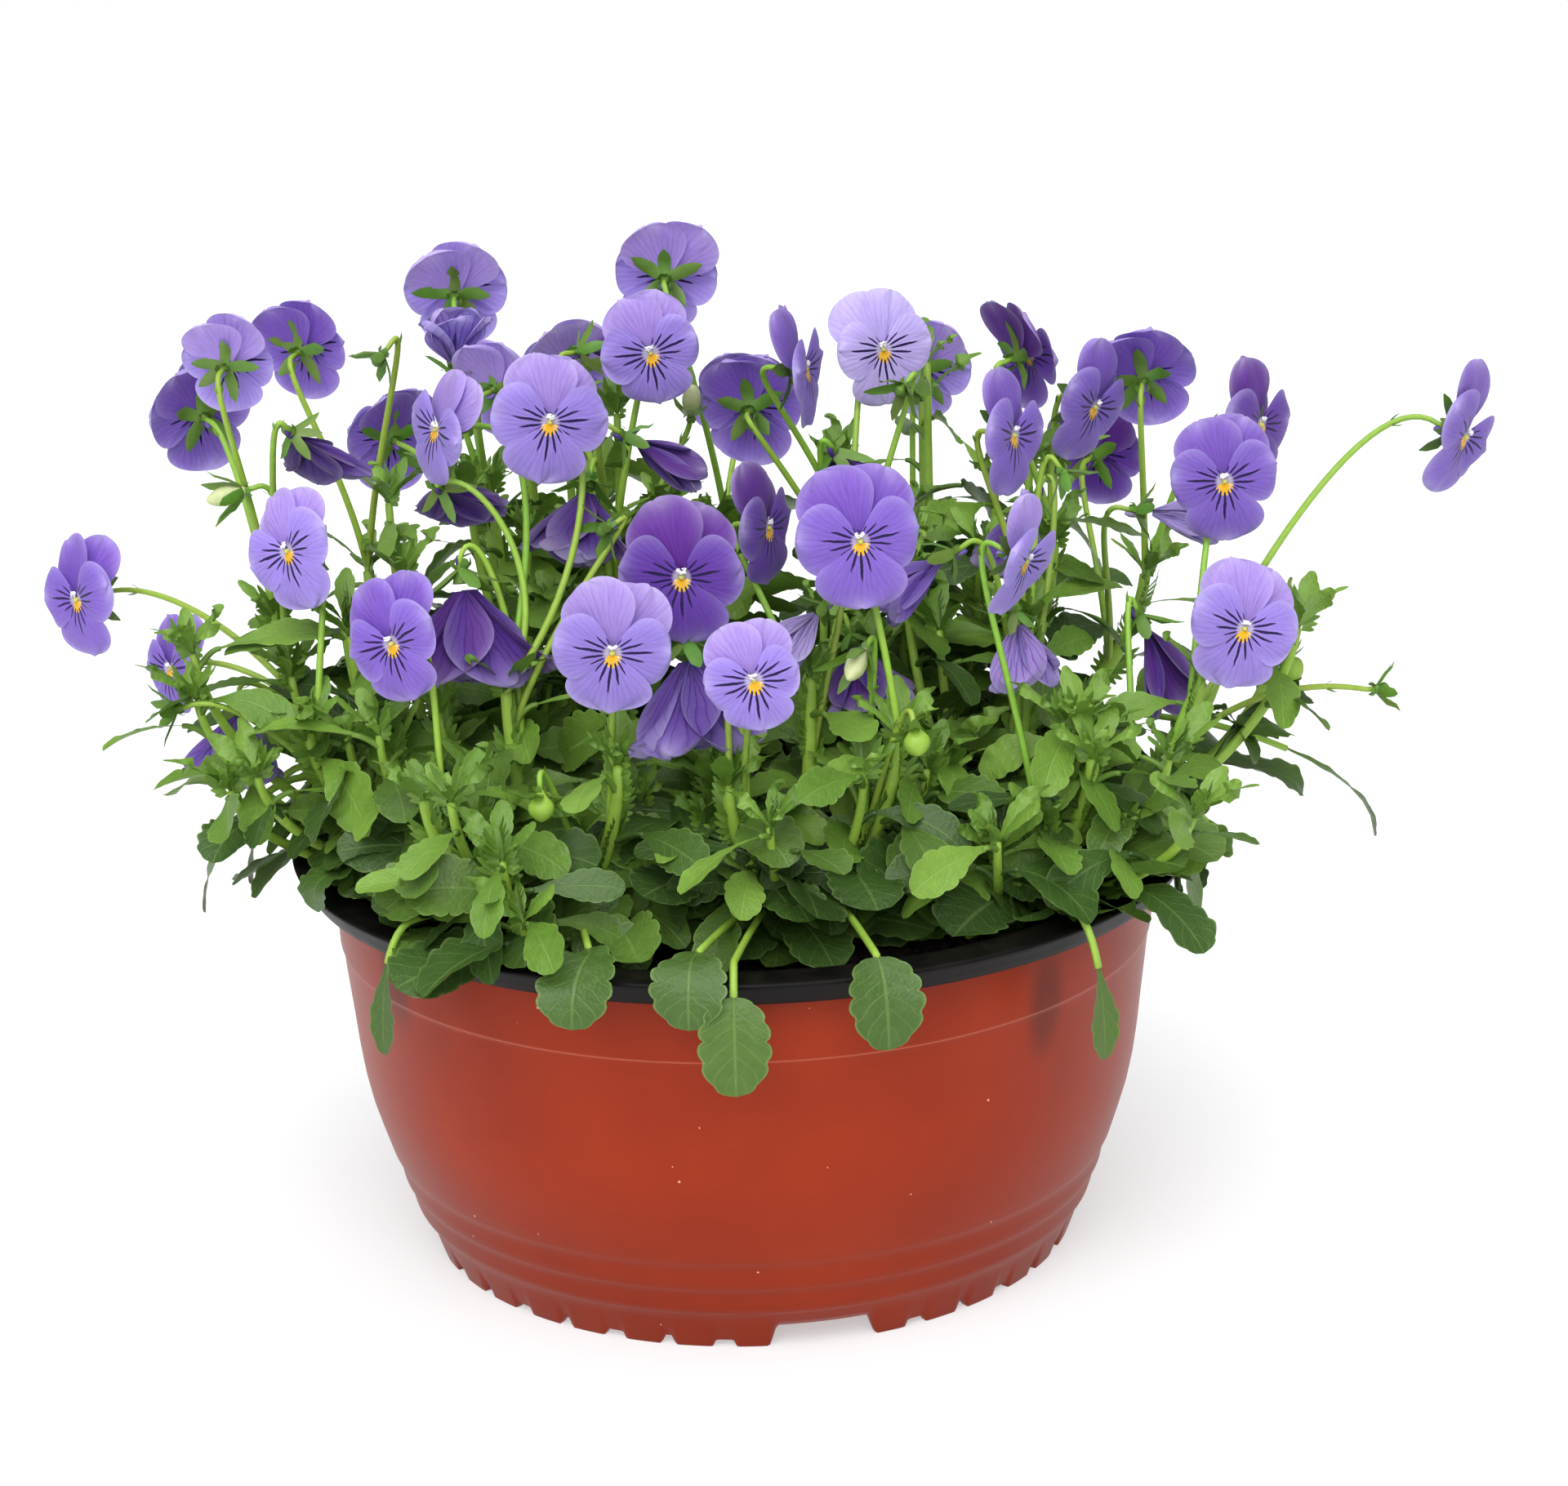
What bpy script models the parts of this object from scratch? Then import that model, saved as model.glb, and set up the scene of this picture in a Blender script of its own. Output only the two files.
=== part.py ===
"""A round bedding bowl planted with violas, in metres, standing on Z = 0 with its front towards -Y.

The bowl is one thin plastic moulding, terracotta outside and black inside, on a notched foot.
It holds damp potting soil. Six plants grow in the soil, and each flower is a node of its own,
held at the end of a thin nodding stalk that belongs to its plant.
"""

import math

import bmesh
import bpy
from mathutils import Matrix, Vector, noise
from mathutils.bvhtree import BVHTree

MM = 0.001
GAP = 0.35 * MM

# The bowl.
RIM_RADIUS = 135 * MM
RIM_INNER_RADIUS = 124 * MM
BOWL_HEIGHT = 124 * MM
SKIRT_HEIGHT = 7 * MM
WALL = 1.3 * MM
FOOT_RADIUS = 98.5 * MM
FOOT_WIDTH = 2.6 * MM
FLOOR_HEIGHT = 9.5 * MM
SEAM_STEP = 1.5 * MM
LATHE_STEPS = 48

# The notches in the foot: four long gaps, each with a run of seven shorter notches after it.
GAP_TURN = math.radians(11)
GAP_WIDTH = 29 * MM
GAP_DEPTH = 6.5 * MM
FIRST_NOTCH_TURN = math.radians(16.5)
NOTCH_PITCH = math.radians(9.5)
NOTCHES_IN_RUN = 7
WIDE_NOTCH = 6 * MM
NARROW_NOTCH = 3 * MM
NOTCH_DEPTH = 2.6 * MM
CUTTER_REACH = 12 * MM

# The drain holes in the floor.
DRAIN_HOLES = 8
DRAIN_HOLE_RADIUS = 4.5 * MM
DRAIN_CIRCLE_RADIUS = 62 * MM

# The soil and the plants' crowns, which stand on it.
SOIL_TOP = 108 * MM
SOIL_EDGE_DROP = 3 * MM
CROWN_BASE = 109.6 * MM
CROWN_RADIUS = 7 * MM
SHOOT_RADIUS = 2.7 * MM
SHOOT_TIP_RADIUS = 1.7 * MM
SHOOT_SIDES = 6
STALK_RADIUS = 1.15 * MM
STALK_SIDES = 4
STALK_DROP = 60 * MM
STALK_STRAIGHT_END = 2 * MM
LEAF_THICKNESS = 0.9 * MM

# A flower's calyx is a nub behind its petals. Its depth is a share of the flower's height.
NUB_DEPTH = 0.17

UP = Vector((0, 0, 1))
LEVEL = Vector((1, 1, 0))
GOLDEN_ANGLE = math.radians(137.5)

# The outside of the bowl, as (radius, height) in millimetres from the foot to the rim. The wall
# steps out three times above the foot, and it has a fine mould seam under the rim.
OUTSIDE = (
    (98.5, 0),
    (101.6, 9),
    (104.0, 12.5),
    (105.6, 19),
    (107.2, 22),
    (108.6, 28),
    (110.4, 31),
    (113.4, 41),
    (117.1, 56),
    (119.4, 76),
    (121.6, 96),
    (122.3, 97.5),
    (122.9, 117),
)

# One row for each flower: its place in millimetres, the way it faces (degrees round from the
# front, then up), its roll, its height in millimetres, its colour and its form.
FLOWERS = (
    (-146, 8, 267, 170, 10, 5, 32, "light", "open"),
    (-161, 42, 245, -150, 5, -8, 38, "violet", "open"),
    (-129, 54, 262, 160, 8, 0, 34, "violet", "open"),
    (-83, 62, 277, 180, 12, 0, 37, "light", "open"),
    (-82, 26, 262, 20, 70, 0, 24, "light", "folded"),
    (-19, 54, 281, 178, 5, 10, 36, "light", "open"),
    (-23, 5, 267, 0, 0, 12, 33, "light", "open"),
    (-51, -40, 257, 10, 0, -10, 37, "light", "open"),
    (-84, -22, 252, -60, 5, -10, 33, "light", "open"),
    (-68, 22, 255, 150, 5, 0, 32, "light", "open"),
    (-42, 40, 262, 120, 0, 0, 30, "purple", "folded"),
    (-28, -8, 244, 100, -35, 0, 30, "purple", "folded"),
    (-43, -6, 229, -20, -50, 0, 32, "purple", "folded"),
    (21, -14, 265, 75, 0, 5, 36, "violet", "open"),
    (46, 42, 259, 20, 5, 5, 35, "pale", "open"),
    (6, 26, 246, 170, 5, 0, 36, "violet", "open"),
    (31, 8, 234, 150, -45, 0, 30, "purple", "folded"),
    (34, -75, 229, 3, 2, 4, 40, "violet", "open"),
    (-15, -70, 219, -5, 3, 3, 40, "purple", "open"),
    (9, -36, 224, 60, 0, -5, 36, "purple", "open"),
    (-34, -95, 205, -3, 0, -5, 37, "light", "open"),
    (4, -101, 198, 0, 3, 10, 30, "light", "open"),
    (-14, -70, 196, 30, -75, 0, 40, "violet", "folded"),
    (-95, -72, 203, -32, 0, 22, 36, "violet", "open"),
    (-127, -32, 220, -38, 5, 28, 36, "light", "open"),
    (-204, 56, 184, -60, 5, 8, 38, "violet", "open"),
    (-120, 4, 238, -30, 40, 0, 28, "purple", "folded"),
    (-77, -44, 211, 15, -72, 0, 42, "purple", "folded"),
    (-80, -6, 226, -15, 30, 0, 28, "purple", "folded"),
    (-170, 14, 173, -70, 0, 0, 30, "violet", "open"),
    (-148, -12, 166, -20, -70, 0, 30, "violet", "folded"),
    (79, -32, 248, 55, 0, -15, 36, "violet", "open"),
    (87, 14, 262, 120, 10, 10, 34, "purple", "open"),
    (107, 22, 244, 55, -15, -25, 36, "violet", "open"),
    (125, 42, 250, 168, 22, -12, 37, "violet", "open"),
    (157, 24, 236, 65, 0, 0, 38, "purple", "open"),
    (141, -20, 230, 0, 5, 5, 36, "violet", "open"),
    (142, -56, 196, 4, 8, -15, 37, "light", "open"),
    (203, -50, 248, 62, -15, -28, 38, "violet", "open"),
    (80, -58, 218, 58, -20, -20, 36, "light", "open"),
    (86, -4, 220, -60, -60, 0, 32, "purple", "folded"),
    (58, -40, 214, -90, -35, 0, 34, "violet", "folded"),
    (80, -36, 194, 40, -80, 0, 28, "light", "folded"),
    (119, -18, 186, 70, -65, 0, 36, "purple", "folded"),
    (124, 16, 213, 85, -10, 0, 32, "pale", "folded"),
    (22, -52, 203, -70, -40, 0, 28, "pale", "folded"),
    (33, -40, 190, 30, -60, 0, 28, "purple", "folded"),
    (-110, 108, 222, 205, 5, 5, 36, "violet", "open"),
    (-52, 122, 240, 190, 8, -8, 37, "light", "open"),
    (4, 128, 226, 178, 5, 0, 38, "violet", "open"),
    (62, 118, 238, 165, 5, 10, 36, "light", "open"),
    (116, 92, 214, 150, 5, 0, 36, "purple", "open"),
)

# One plant a row: where its crown stands and where its shoots end, all in millimetres.
PLANTS = (
    ("plant_left", (-84, -6), ((-124, -38, 168), (-138, 14, 188), (-112, 38, 196))),
    ("plant_front_left", (-54, -62), ((-88, -80, 160), (-66, -50, 182), (-34, -78, 168))),
    ("plant_front_centre", (14, -54), ((-4, -82, 162), (20, -52, 184), (44, -72, 172))),
    ("plant_right", (74, -42), ((98, -72, 164), (132, -40, 178), (84, -22, 190))),
    ("plant_back_left", (-40, 44), ((-74, 36, 208), (-36, 18, 206), (-50, 88, 192), (-2, 62, 198))),
    ("plant_back_right", (60, 38), ((34, 22, 202), (96, 26, 202), (126, 46, 186), (56, 86, 190))),
)

# Leaves that hang over the rim: their plant, where each tip ends in millimetres, their width and
# how high they pass over the rim.
RIM_LEAVES = (
    ("plant_front_left", (-47, -138, 114), 22, 130),
    ("plant_front_centre", (-16, -141, 114), 21, 130),
    ("plant_front_centre", (-4, -144, 96), 20, 129),
    ("plant_front_centre", (37, -139, 106), 21, 130),
    ("plant_right", (98, -106, 88), 11, 130),
    ("plant_front_left", (-101, -102, 94), 10, 130),
    ("plant_left", (-122, -66, 124), 19, 134),
    ("plant_right", (128, -62, 108), 14, 140),
    ("plant_right", (166, -16, 134), 24, 146),
    ("plant_back_right", (192, 8, 112), 12, 152),
    ("plant_left", (-160, -20, 108), 17, 148),
    ("plant_left", (-150, 10, 106), 12, 144),
    ("plant_back_left", (-96, 108, 112), 19, 134),
    ("plant_back_left", (-30, 141, 104), 21, 134),
    ("plant_back_right", (28, 141, 118), 22, 134),
    ("plant_back_right", (84, 116, 108), 19, 134),
)

# The width of a rim leaf along its length, as shares of its full width: stalk, blade and tip.
RIM_LEAF_SHAPE = (0.1, 0.11, 0.13, 0.2, 0.85, 1.0, 0.3)

TONES = {
    "light": (0.30, 0.23, 0.72, 1),
    "violet": (0.20, 0.12, 0.58, 1),
    "purple": (0.11, 0.03, 0.33, 1),
    "pale": (0.50, 0.42, 0.78, 1),
}


def material(name, colour, roughness):
    """A plain material for one kind of real surface."""
    made = bpy.data.materials.new(name)
    made.use_nodes = True
    shader = made.node_tree.nodes["Principled BSDF"]
    shader.inputs["Base Color"].default_value = colour
    shader.inputs["Roughness"].default_value = roughness
    made.diffuse_color = colour
    return made


def mesh_object(name, shape, surface, helper=False):
    """Turns the bmesh into an object. A helper is an operand of a Boolean, not a part of its own."""
    bmesh.ops.recalc_face_normals(shape, faces=shape.faces)
    mesh = bpy.data.meshes.new(name)
    shape.to_mesh(mesh)
    shape.free()
    mesh.materials.append(surface)
    mesh.shade_smooth()
    made = bpy.data.objects.new(name, mesh)
    bpy.context.scene.collection.objects.link(made)
    if helper:
        made.hide_render = True
        made.display_type = "WIRE"
    return made


def lathe(profile, steps):
    """A closed solid of revolution about Z. The profile runs from the axis below to the axis above."""
    shape = bmesh.new()
    rings = []
    for radius, height in profile:
        if radius == 0:
            rings.append([shape.verts.new((0, 0, height))])
            continue
        turns = [2 * math.pi * step / steps for step in range(steps)]
        ring = [(radius * math.cos(t), radius * math.sin(t), height) for t in turns]
        rings.append([shape.verts.new(point) for point in ring])
    for lower, upper in zip(rings, rings[1:]):
        for step in range(steps):
            after = (step + 1) % steps
            if len(lower) == 1:
                shape.faces.new((lower[0], upper[after], upper[step]))
            elif len(upper) == 1:
                shape.faces.new((lower[step], lower[after], upper[0]))
            else:
                shape.faces.new((lower[step], lower[after], upper[after], upper[step]))
    return shape


def frames_along(points):
    """A direction and two cross directions at each point, turning as little as possible on the way."""
    count = len(points)
    steps = [(points[min(i + 1, count - 1)] - points[max(i - 1, 0)]).normalized() for i in range(count)]
    across = steps[0].orthogonal().normalized()
    frames = []
    for step in steps:
        across = (across - step * across.dot(step)).normalized()
        frames.append((step, across, step.cross(across)))
    return frames


def add_tube(shape, points, radii, sides):
    """Adds a closed round rod along the points."""
    rings = []
    for point, radius, (_, across, over) in zip(points, radii, frames_along(points)):
        turns = [2 * math.pi * side / sides for side in range(sides)]
        ring = [point + (across * math.cos(t) + over * math.sin(t)) * radius for t in turns]
        rings.append([shape.verts.new(corner) for corner in ring])
    for lower, upper in zip(rings, rings[1:]):
        for side in range(sides):
            after = (side + 1) % sides
            shape.faces.new((lower[side], lower[after], upper[after], upper[side]))
    shape.faces.new(rings[0][::-1])
    shape.faces.new(rings[-1])


def add_blade(shape, points, widths, facing, thickness):
    """Adds a closed flat blade along the points, such as a leaf with its stalk."""
    rings = []
    for index, point in enumerate(points):
        ahead = points[min(index + 1, len(points) - 1)] - points[max(index - 1, 0)]
        side = ahead.cross(facing).normalized() * widths[index] / 2
        lift = side.cross(ahead).normalized() * thickness / 2
        corners = (point - side - lift, point + side - lift, point + side + lift, point - side + lift)
        rings.append([shape.verts.new(corner) for corner in corners])
    for lower, upper in zip(rings, rings[1:]):
        for corner in range(4):
            after = (corner + 1) % 4
            shape.faces.new((lower[corner], lower[after], upper[after], upper[corner]))
    shape.faces.new(rings[0][::-1])
    shape.faces.new(rings[-1])


def bezier(start, first, second, end, count):
    """Points along a cubic curve, both ends included."""
    points = []
    for step in range(count + 1):
        t = step / count
        s = 1 - t
        points.append(start * s**3 + first * 3 * s * s * t + second * 3 * s * t * t + end * t**3)
    return points


def tree_of(shape):
    """A search tree of the shape, to see what it touches. It frees the shape."""
    tree = BVHTree.FromBMesh(shape)
    shape.free()
    return tree


# ---------------------------------------------------------------- bowl


def bowl_profile():
    """The section of the bowl, from the axis under the floor, round the rim, to the axis above it."""
    outside = [(radius * MM, height * MM) for radius, height in OUTSIDE]
    inside = inner_wall()[::-1]
    skirt_low = BOWL_HEIGHT - SKIRT_HEIGHT
    lip = [
        (outside[-1][0], BOWL_HEIGHT - 2 * WALL),
        (RIM_RADIUS - 3 * MM, BOWL_HEIGHT - 2 * WALL),
        (RIM_RADIUS - 4 * MM - WALL, skirt_low),
        (RIM_RADIUS - 4 * MM, skirt_low),
        (RIM_RADIUS - 0.6 * MM, BOWL_HEIGHT - 1.6 * MM),
        (RIM_RADIUS - 1.4 * MM, BOWL_HEIGHT),
        (RIM_INNER_RADIUS, BOWL_HEIGHT),
        (outside[-1][0] - WALL, BOWL_HEIGHT - SEAM_STEP),
    ]
    foot = [
        (0, FLOOR_HEIGHT),
        (FOOT_RADIUS - FOOT_WIDTH, FLOOR_HEIGHT),
        (FOOT_RADIUS - FOOT_WIDTH, 0),
    ]
    floor = [(inside[-1][0] - 1.5 * MM, FLOOR_HEIGHT + WALL), (0, FLOOR_HEIGHT + WALL)]
    return foot + outside + lip + inside + floor


def inner_wall():
    """The bowl's wall from the inside, bottom first."""
    return [(radius * MM - WALL, height * MM) for radius, height in OUTSIDE[2::2]]


def add_notch(shape, turn, width, depth):
    """Adds the cutter for one notch in the foot, wider at the bottom than at its top."""
    foot_half = width / 2 + 0.7 * depth
    top_half = width / 2 - 0.3 * depth
    section = ((-foot_half, -depth), (foot_half, -depth), (top_half, depth), (-top_half, depth))
    spin = Matrix.Rotation(turn, 4, "Z")
    rings = []
    for radius in (FOOT_RADIUS - CUTTER_REACH, FOOT_RADIUS + CUTTER_REACH):
        corners = [spin @ Vector((across, -radius, height)) for across, height in section]
        rings.append([shape.verts.new(corner) for corner in corners])
    for corner in range(4):
        after = (corner + 1) % 4
        shape.faces.new((rings[0][corner], rings[0][after], rings[1][after], rings[1][corner]))
    shape.faces.new(rings[0][::-1])
    shape.faces.new(rings[1])


def planter_bowl(plastic):
    """The bowl with its drain holes and with its foot notched all round."""
    bowl = mesh_object("planter_bowl", lathe(bowl_profile(), LATHE_STEPS), plastic)
    cutter = bmesh.new()
    for quarter in range(4):
        start = GAP_TURN + quarter * math.pi / 2
        add_notch(cutter, start, GAP_WIDTH, GAP_DEPTH)
        for place in range(NOTCHES_IN_RUN):
            width = NARROW_NOTCH if place % 2 else WIDE_NOTCH
            add_notch(cutter, start + FIRST_NOTCH_TURN + NOTCH_PITCH * place, width, NOTCH_DEPTH)
    for hole in range(DRAIN_HOLES):
        turn = 2 * math.pi * hole / DRAIN_HOLES
        across = DRAIN_CIRCLE_RADIUS * math.cos(turn)
        along = DRAIN_CIRCLE_RADIUS * math.sin(turn)
        bmesh.ops.create_cone(
            cutter,
            cap_ends=True,
            segments=10,
            radius1=DRAIN_HOLE_RADIUS,
            radius2=DRAIN_HOLE_RADIUS,
            depth=6 * WALL,
            matrix=Matrix.Translation((across, along, FLOOR_HEIGHT)),
        )
    cut = bowl.modifiers.new("notches and drain holes", "BOOLEAN")
    cut.object = mesh_object("bowl_cutter", cutter, plastic, helper=True)
    cut.operation = "DIFFERENCE"
    cut.solver = "EXACT"
    return bowl


def potting_soil(peat):
    """The soil, a body that fills the bowl to about 15 mm below its rim, uneven on top."""
    low = FLOOR_HEIGHT + WALL + GAP
    # The walls of the two solids are facets of one lathe, so the gap stays even between them.
    wall = [(radius - GAP, height) for radius, height in inner_wall() if height < SOIL_TOP - SOIL_EDGE_DROP]
    bottom = [(0, low), (wall[0][0] - 2 * MM, low)]
    wall_top = (wall[-1][0], SOIL_TOP - SOIL_EDGE_DROP)
    top = [(108 * MM, SOIL_TOP - 2 * MM), (60 * MM, SOIL_TOP), (0, SOIL_TOP)]
    shape = lathe(bottom + wall + [wall_top] + top, LATHE_STEPS)
    for vert in shape.verts:
        if vert.co.z > wall_top[1] + 0.1 * MM:
            vert.co.z += 1.2 * MM * noise.noise(vert.co / (14 * MM))
    return mesh_object("potting_soil", shape, peat)


# ---------------------------------------------------------------- flowers

# The five petals as (centre across, centre up, radius), in shares of the flower's height.
PETALS = ((-0.17, 0.26, 0.27), (0.17, 0.26, 0.27), (-0.24, 0.0, 0.21), (0.24, 0.0, 0.21), (0.0, -0.2, 0.22))


def petal_reach(turn):
    """How far the petals reach from the throat in one direction, as a share of the flower's height."""
    ray = Vector((math.cos(turn), math.sin(turn)))
    reach = 0.2
    for across, up, radius in PETALS:
        along = ray.dot(Vector((across, up)))
        inside = radius**2 - (across**2 + up**2 - along**2)
        if inside > 0:
            reach = max(reach, along + math.sqrt(inside))
    return reach


def ring_of(shape, across, ahead, up, sides):
    """A ring of points on an ellipse that looks along +Y: its half width, its place and its half height."""
    turns = [math.pi / 2 + 2 * math.pi * step / sides for step in range(sides)]
    return [shape.verts.new((across * math.cos(t), ahead, up * math.sin(t))) for t in turns]


def open_flower(height):
    """An open flower looking along +Y with its top up: five lobes, and its calyx as a nub behind."""
    shape = bmesh.new()
    edge = []
    for step in range(18):
        turn = math.pi / 2 + 2 * math.pi * step / 18
        reach = petal_reach(turn) * height
        edge.append(shape.verts.new((reach * math.cos(turn), 0.1 * reach, reach * math.sin(turn))))
    throat = shape.verts.new((0, -0.03 * height, 0))
    neck = ring_of(shape, 0.07 * height, -0.11 * height, 0.07 * height, 6)
    nub = shape.verts.new((0, -NUB_DEPTH * height, 0))
    for step in range(18):
        after = (step + 1) % 18
        shape.faces.new((throat, edge[step], edge[after]))
        near = neck[step // 3]
        shape.faces.new((edge[after], edge[step], near))
        if step % 3 == 2:
            shape.faces.new((edge[after], near, neck[(step // 3 + 1) % 6]))
    for step in range(6):
        shape.faces.new((neck[step], neck[(step + 1) % 6], nub))
    return shape


# A folded flower from its calyx outwards, as (ahead, half width, half height), in shares of its height.
FOLDED = (
    (-NUB_DEPTH, 0.02, 0.02),
    (-0.1, 0.08, 0.07),
    (0.15, 0.2, 0.1),
    (0.45, 0.33, 0.1),
    (0.68, 0.24, 0.05),
)


def folded_flower(height):
    """A flower with its petals folded together, looking along +Y: a flat fan that widens from the calyx."""
    shape = bmesh.new()
    rings = [ring_of(shape, wide * height, ahead * height, up * height, 8) for ahead, wide, up in FOLDED]
    for lower, upper in zip(rings, rings[1:]):
        for step in range(8):
            after = (step + 1) % 8
            shape.faces.new((lower[step], lower[after], upper[after], upper[step]))
    shape.faces.new(rings[0][::-1])
    shape.faces.new(rings[-1])
    return shape


def facing_of(azimuth, pitch):
    """The way a flower looks: azimuth 0 is the planter's front, and pitch is up."""
    a = math.radians(azimuth)
    p = math.radians(pitch)
    return Vector((math.sin(a) * math.cos(p), -math.cos(a) * math.cos(p), math.sin(p)))


def flower_placing(place, azimuth, pitch, roll):
    """Turns a flower from looking along +Y to its own direction, and moves its throat to its place."""
    turn = Matrix.Rotation(math.radians(azimuth - 180), 4, "Z")
    tilt = Matrix.Rotation(math.radians(pitch), 4, "X")
    spin = Matrix.Rotation(math.radians(roll), 4, "Y")
    return Matrix.Translation(place) @ turn @ tilt @ spin


def flowers(tones):
    """Every flower as its own node. Gives each one's stalk end, the way it faces and its search tree."""
    found = []
    for number, (x, y, z, azimuth, pitch, roll, height, tone, form) in enumerate(FLOWERS, 1):
        place = Vector((x, y, z)) * MM
        shape = open_flower(height * MM) if form == "open" else folded_flower(height * MM)
        shape.transform(flower_placing(place, azimuth, pitch, roll))
        facing = facing_of(azimuth, pitch)
        end = place - facing * (NUB_DEPTH * height * MM + GAP)
        found.append((end, facing, tree_of(shape.copy())))
        mesh_object(f"flower_{number:02d}", shape, tones[tone])
    return found


# ---------------------------------------------------------------- plants


def is_clear(trial, trees):
    """True if the trial shape crosses none of the trees. It frees the shape."""
    own = tree_of(trial)
    return not any(own.overlap(tree) for tree in trees)


def shoot_path(base, tip):
    """A shoot that leaves its crown outwards and then turns up."""
    lean = (tip - base) * LEVEL
    rise = UP * (tip.z - base.z)
    return bezier(base, base + lean * 0.5 + rise * 0.25, base + lean * 0.95 + rise * 0.6, tip, 6)


def stalk_path(start, end, facing, side, bow):
    """A flower's stalk: slanting up from the shoot, over behind the flower, and into its calyx."""
    length = (end - start).length
    neck = end - facing * STALK_STRAIGHT_END
    back = neck - facing * 0.2 * length + UP * 0.04 * length + side * bow * 0.6
    out = start.lerp(end, 0.3) + UP * 0.2 * length + side * bow
    return bezier(start, out, back, neck, 6) + [end]


def taper(first, last, count):
    """Radii from first to last over count points."""
    return [first + (last - first) * index / (count - 1) for index in range(count)]


def stalk_roots(end, plants):
    """The places on the shoots that a stalk could grow from, the likeliest first."""
    found = []
    for plant, paths in plants.items():
        for path in paths:
            for point in path[2:]:
                aside = ((end - point) * LEVEL).length
                found.append((aside + 0.5 * abs(end.z - point.z - STALK_DROP), plant, point))
    return [(plant, point) for _, plant, point in sorted(found, key=lambda root: root[0])[:8]]


def rod(path, radii, sides):
    """A closed rod as a shape of its own."""
    shape = bmesh.new()
    add_tube(shape, path, radii, sides)
    return shape


def blade(path, widths, facing, thickness):
    """A closed blade as a shape of its own."""
    shape = bmesh.new()
    add_blade(shape, path, widths, facing, thickness)
    return shape


def clear_stalk(start, end, facing, others):
    """The straightest stalk that passes its neighbours, bowed to one side if it has to be."""
    # A square rod has to be this much thicker to hold a round one with the gap about it.
    girth = 1.45 * STALK_RADIUS + GAP
    for bow in (0, 6, 12, 18, 26, 34):
        for turn in range(0, 360, 30) if bow else (0,):
            side = Vector((math.cos(math.radians(turn)), math.sin(math.radians(turn)), 0))
            path = stalk_path(start, end, facing, side, bow * MM)
            short = path[:-1] + [path[-1] - facing * GAP]
            if is_clear(rod(short, [girth] * len(short), STALK_SIDES), others):
                return path
    return None


def leaf_points(root, out, length, droop):
    """The midline of a leaf with its stalk, which leaves its root upwards and then bends over."""
    stalk = root + out * length * 0.35 + UP * length * 0.22
    middle = root + out * length * 0.7 + UP * length * (0.3 - 0.35 * droop)
    tip = root + out * length * (1 - 0.15 * droop) + UP * length * (0.22 - 0.9 * droop)
    return [root, stalk, middle, tip]


def rim_leaf_points(root, tip, crest_height):
    """The midline of a leaf that reaches over the rim and hangs down outside it."""
    away = (tip * LEVEL).normalized()
    crest = away * (RIM_RADIUS - 4 * MM) + UP * crest_height
    near = Vector((root.x, root.y, crest_height)).lerp(crest, 0.2)
    rise = bezier(root, near, crest.lerp(near, 0.35), crest, 3)
    hang = tip.lerp(Vector((tip.x, tip.y, crest_height)), 0.6)
    fall = bezier(crest, crest + away * 9 * MM, hang, tip, 3)
    return rise + fall[1:]


def leaves_of(path, first_turn):
    """The leaves along one shoot, each turned on from the last by the golden angle."""
    found = []
    for index in range(1, len(path) - 1):
        turn = first_turn + GOLDEN_ANGLE * index
        out = Vector((math.cos(turn), math.sin(turn), 0))
        length = (46 - 3 * index) * MM
        found.append((path[index], out, length, 0.25 + 0.1 * math.sin(5 * turn)))
    return found


def shoot_radii(path, more=0.0):
    """The radius of a shoot at each of its points, made larger all along by more."""
    return [radius + more for radius in taper(SHOOT_RADIUS, SHOOT_TIP_RADIUS, len(path))]


def trees_but(name, trees, solids):
    """What the limbs of one plant must keep clear of: the solids, and every other plant's limbs."""
    return solids + [tree for other, limbs in trees.items() if other != name for tree in limbs]


def route_stalks(blooms, shoots, trees, solids):
    """Finds each flower's stalk a root and a clear way. Gives the stalks of each plant."""
    stalks = {name: [] for name in shoots}
    for end, facing, _ in blooms:
        for name, start in stalk_roots(end, shoots):
            path = clear_stalk(start, end, facing, trees_but(name, trees, solids))
            if path:
                stalks[name].append(path)
                trees[name].append(tree_of(rod(path, [STALK_RADIUS + GAP] * len(path), STALK_SIDES)))
                break
    return stalks


def clear_blade(points, widths, facing, others):
    """A leaf as a shape of its own, or None where it would touch one of the others."""
    wider = [width + 2 * GAP for width in widths]
    if not is_clear(blade(points, wider, facing, LEAF_THICKNESS + 2 * GAP), others):
        return None
    return blade(points, widths, facing, LEAF_THICKNESS)


def leaf_shapes(name, shoots, first_turn, others):
    """Every leaf of one plant that touches nothing: those over the rim, then those along its shoots."""
    shapes = []
    for owner, tip, width, crest in RIM_LEAVES:
        if owner != name:
            continue
        tip = Vector(tip) * MM
        root = min((path[1] for path in shoots), key=lambda point: (point - tip).length)
        facing = (tip - root).normalized() * LEVEL + 2 * UP
        widths = [width * MM * share for share in RIM_LEAF_SHAPE]
        shapes.append(clear_blade(rim_leaf_points(root, tip, crest * MM), widths, facing, others))
    for shoot_number, path in enumerate(shoots):
        for root, out, length, droop in leaves_of(path, first_turn + 2.1 * shoot_number):
            widths = [1.6 * MM, 2.2 * MM, 0.52 * length, 0.14 * length]
            shapes.append(clear_blade(leaf_points(root, out, length, droop), widths, UP, others))
    return [shape for shape in shapes if shape]


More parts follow.
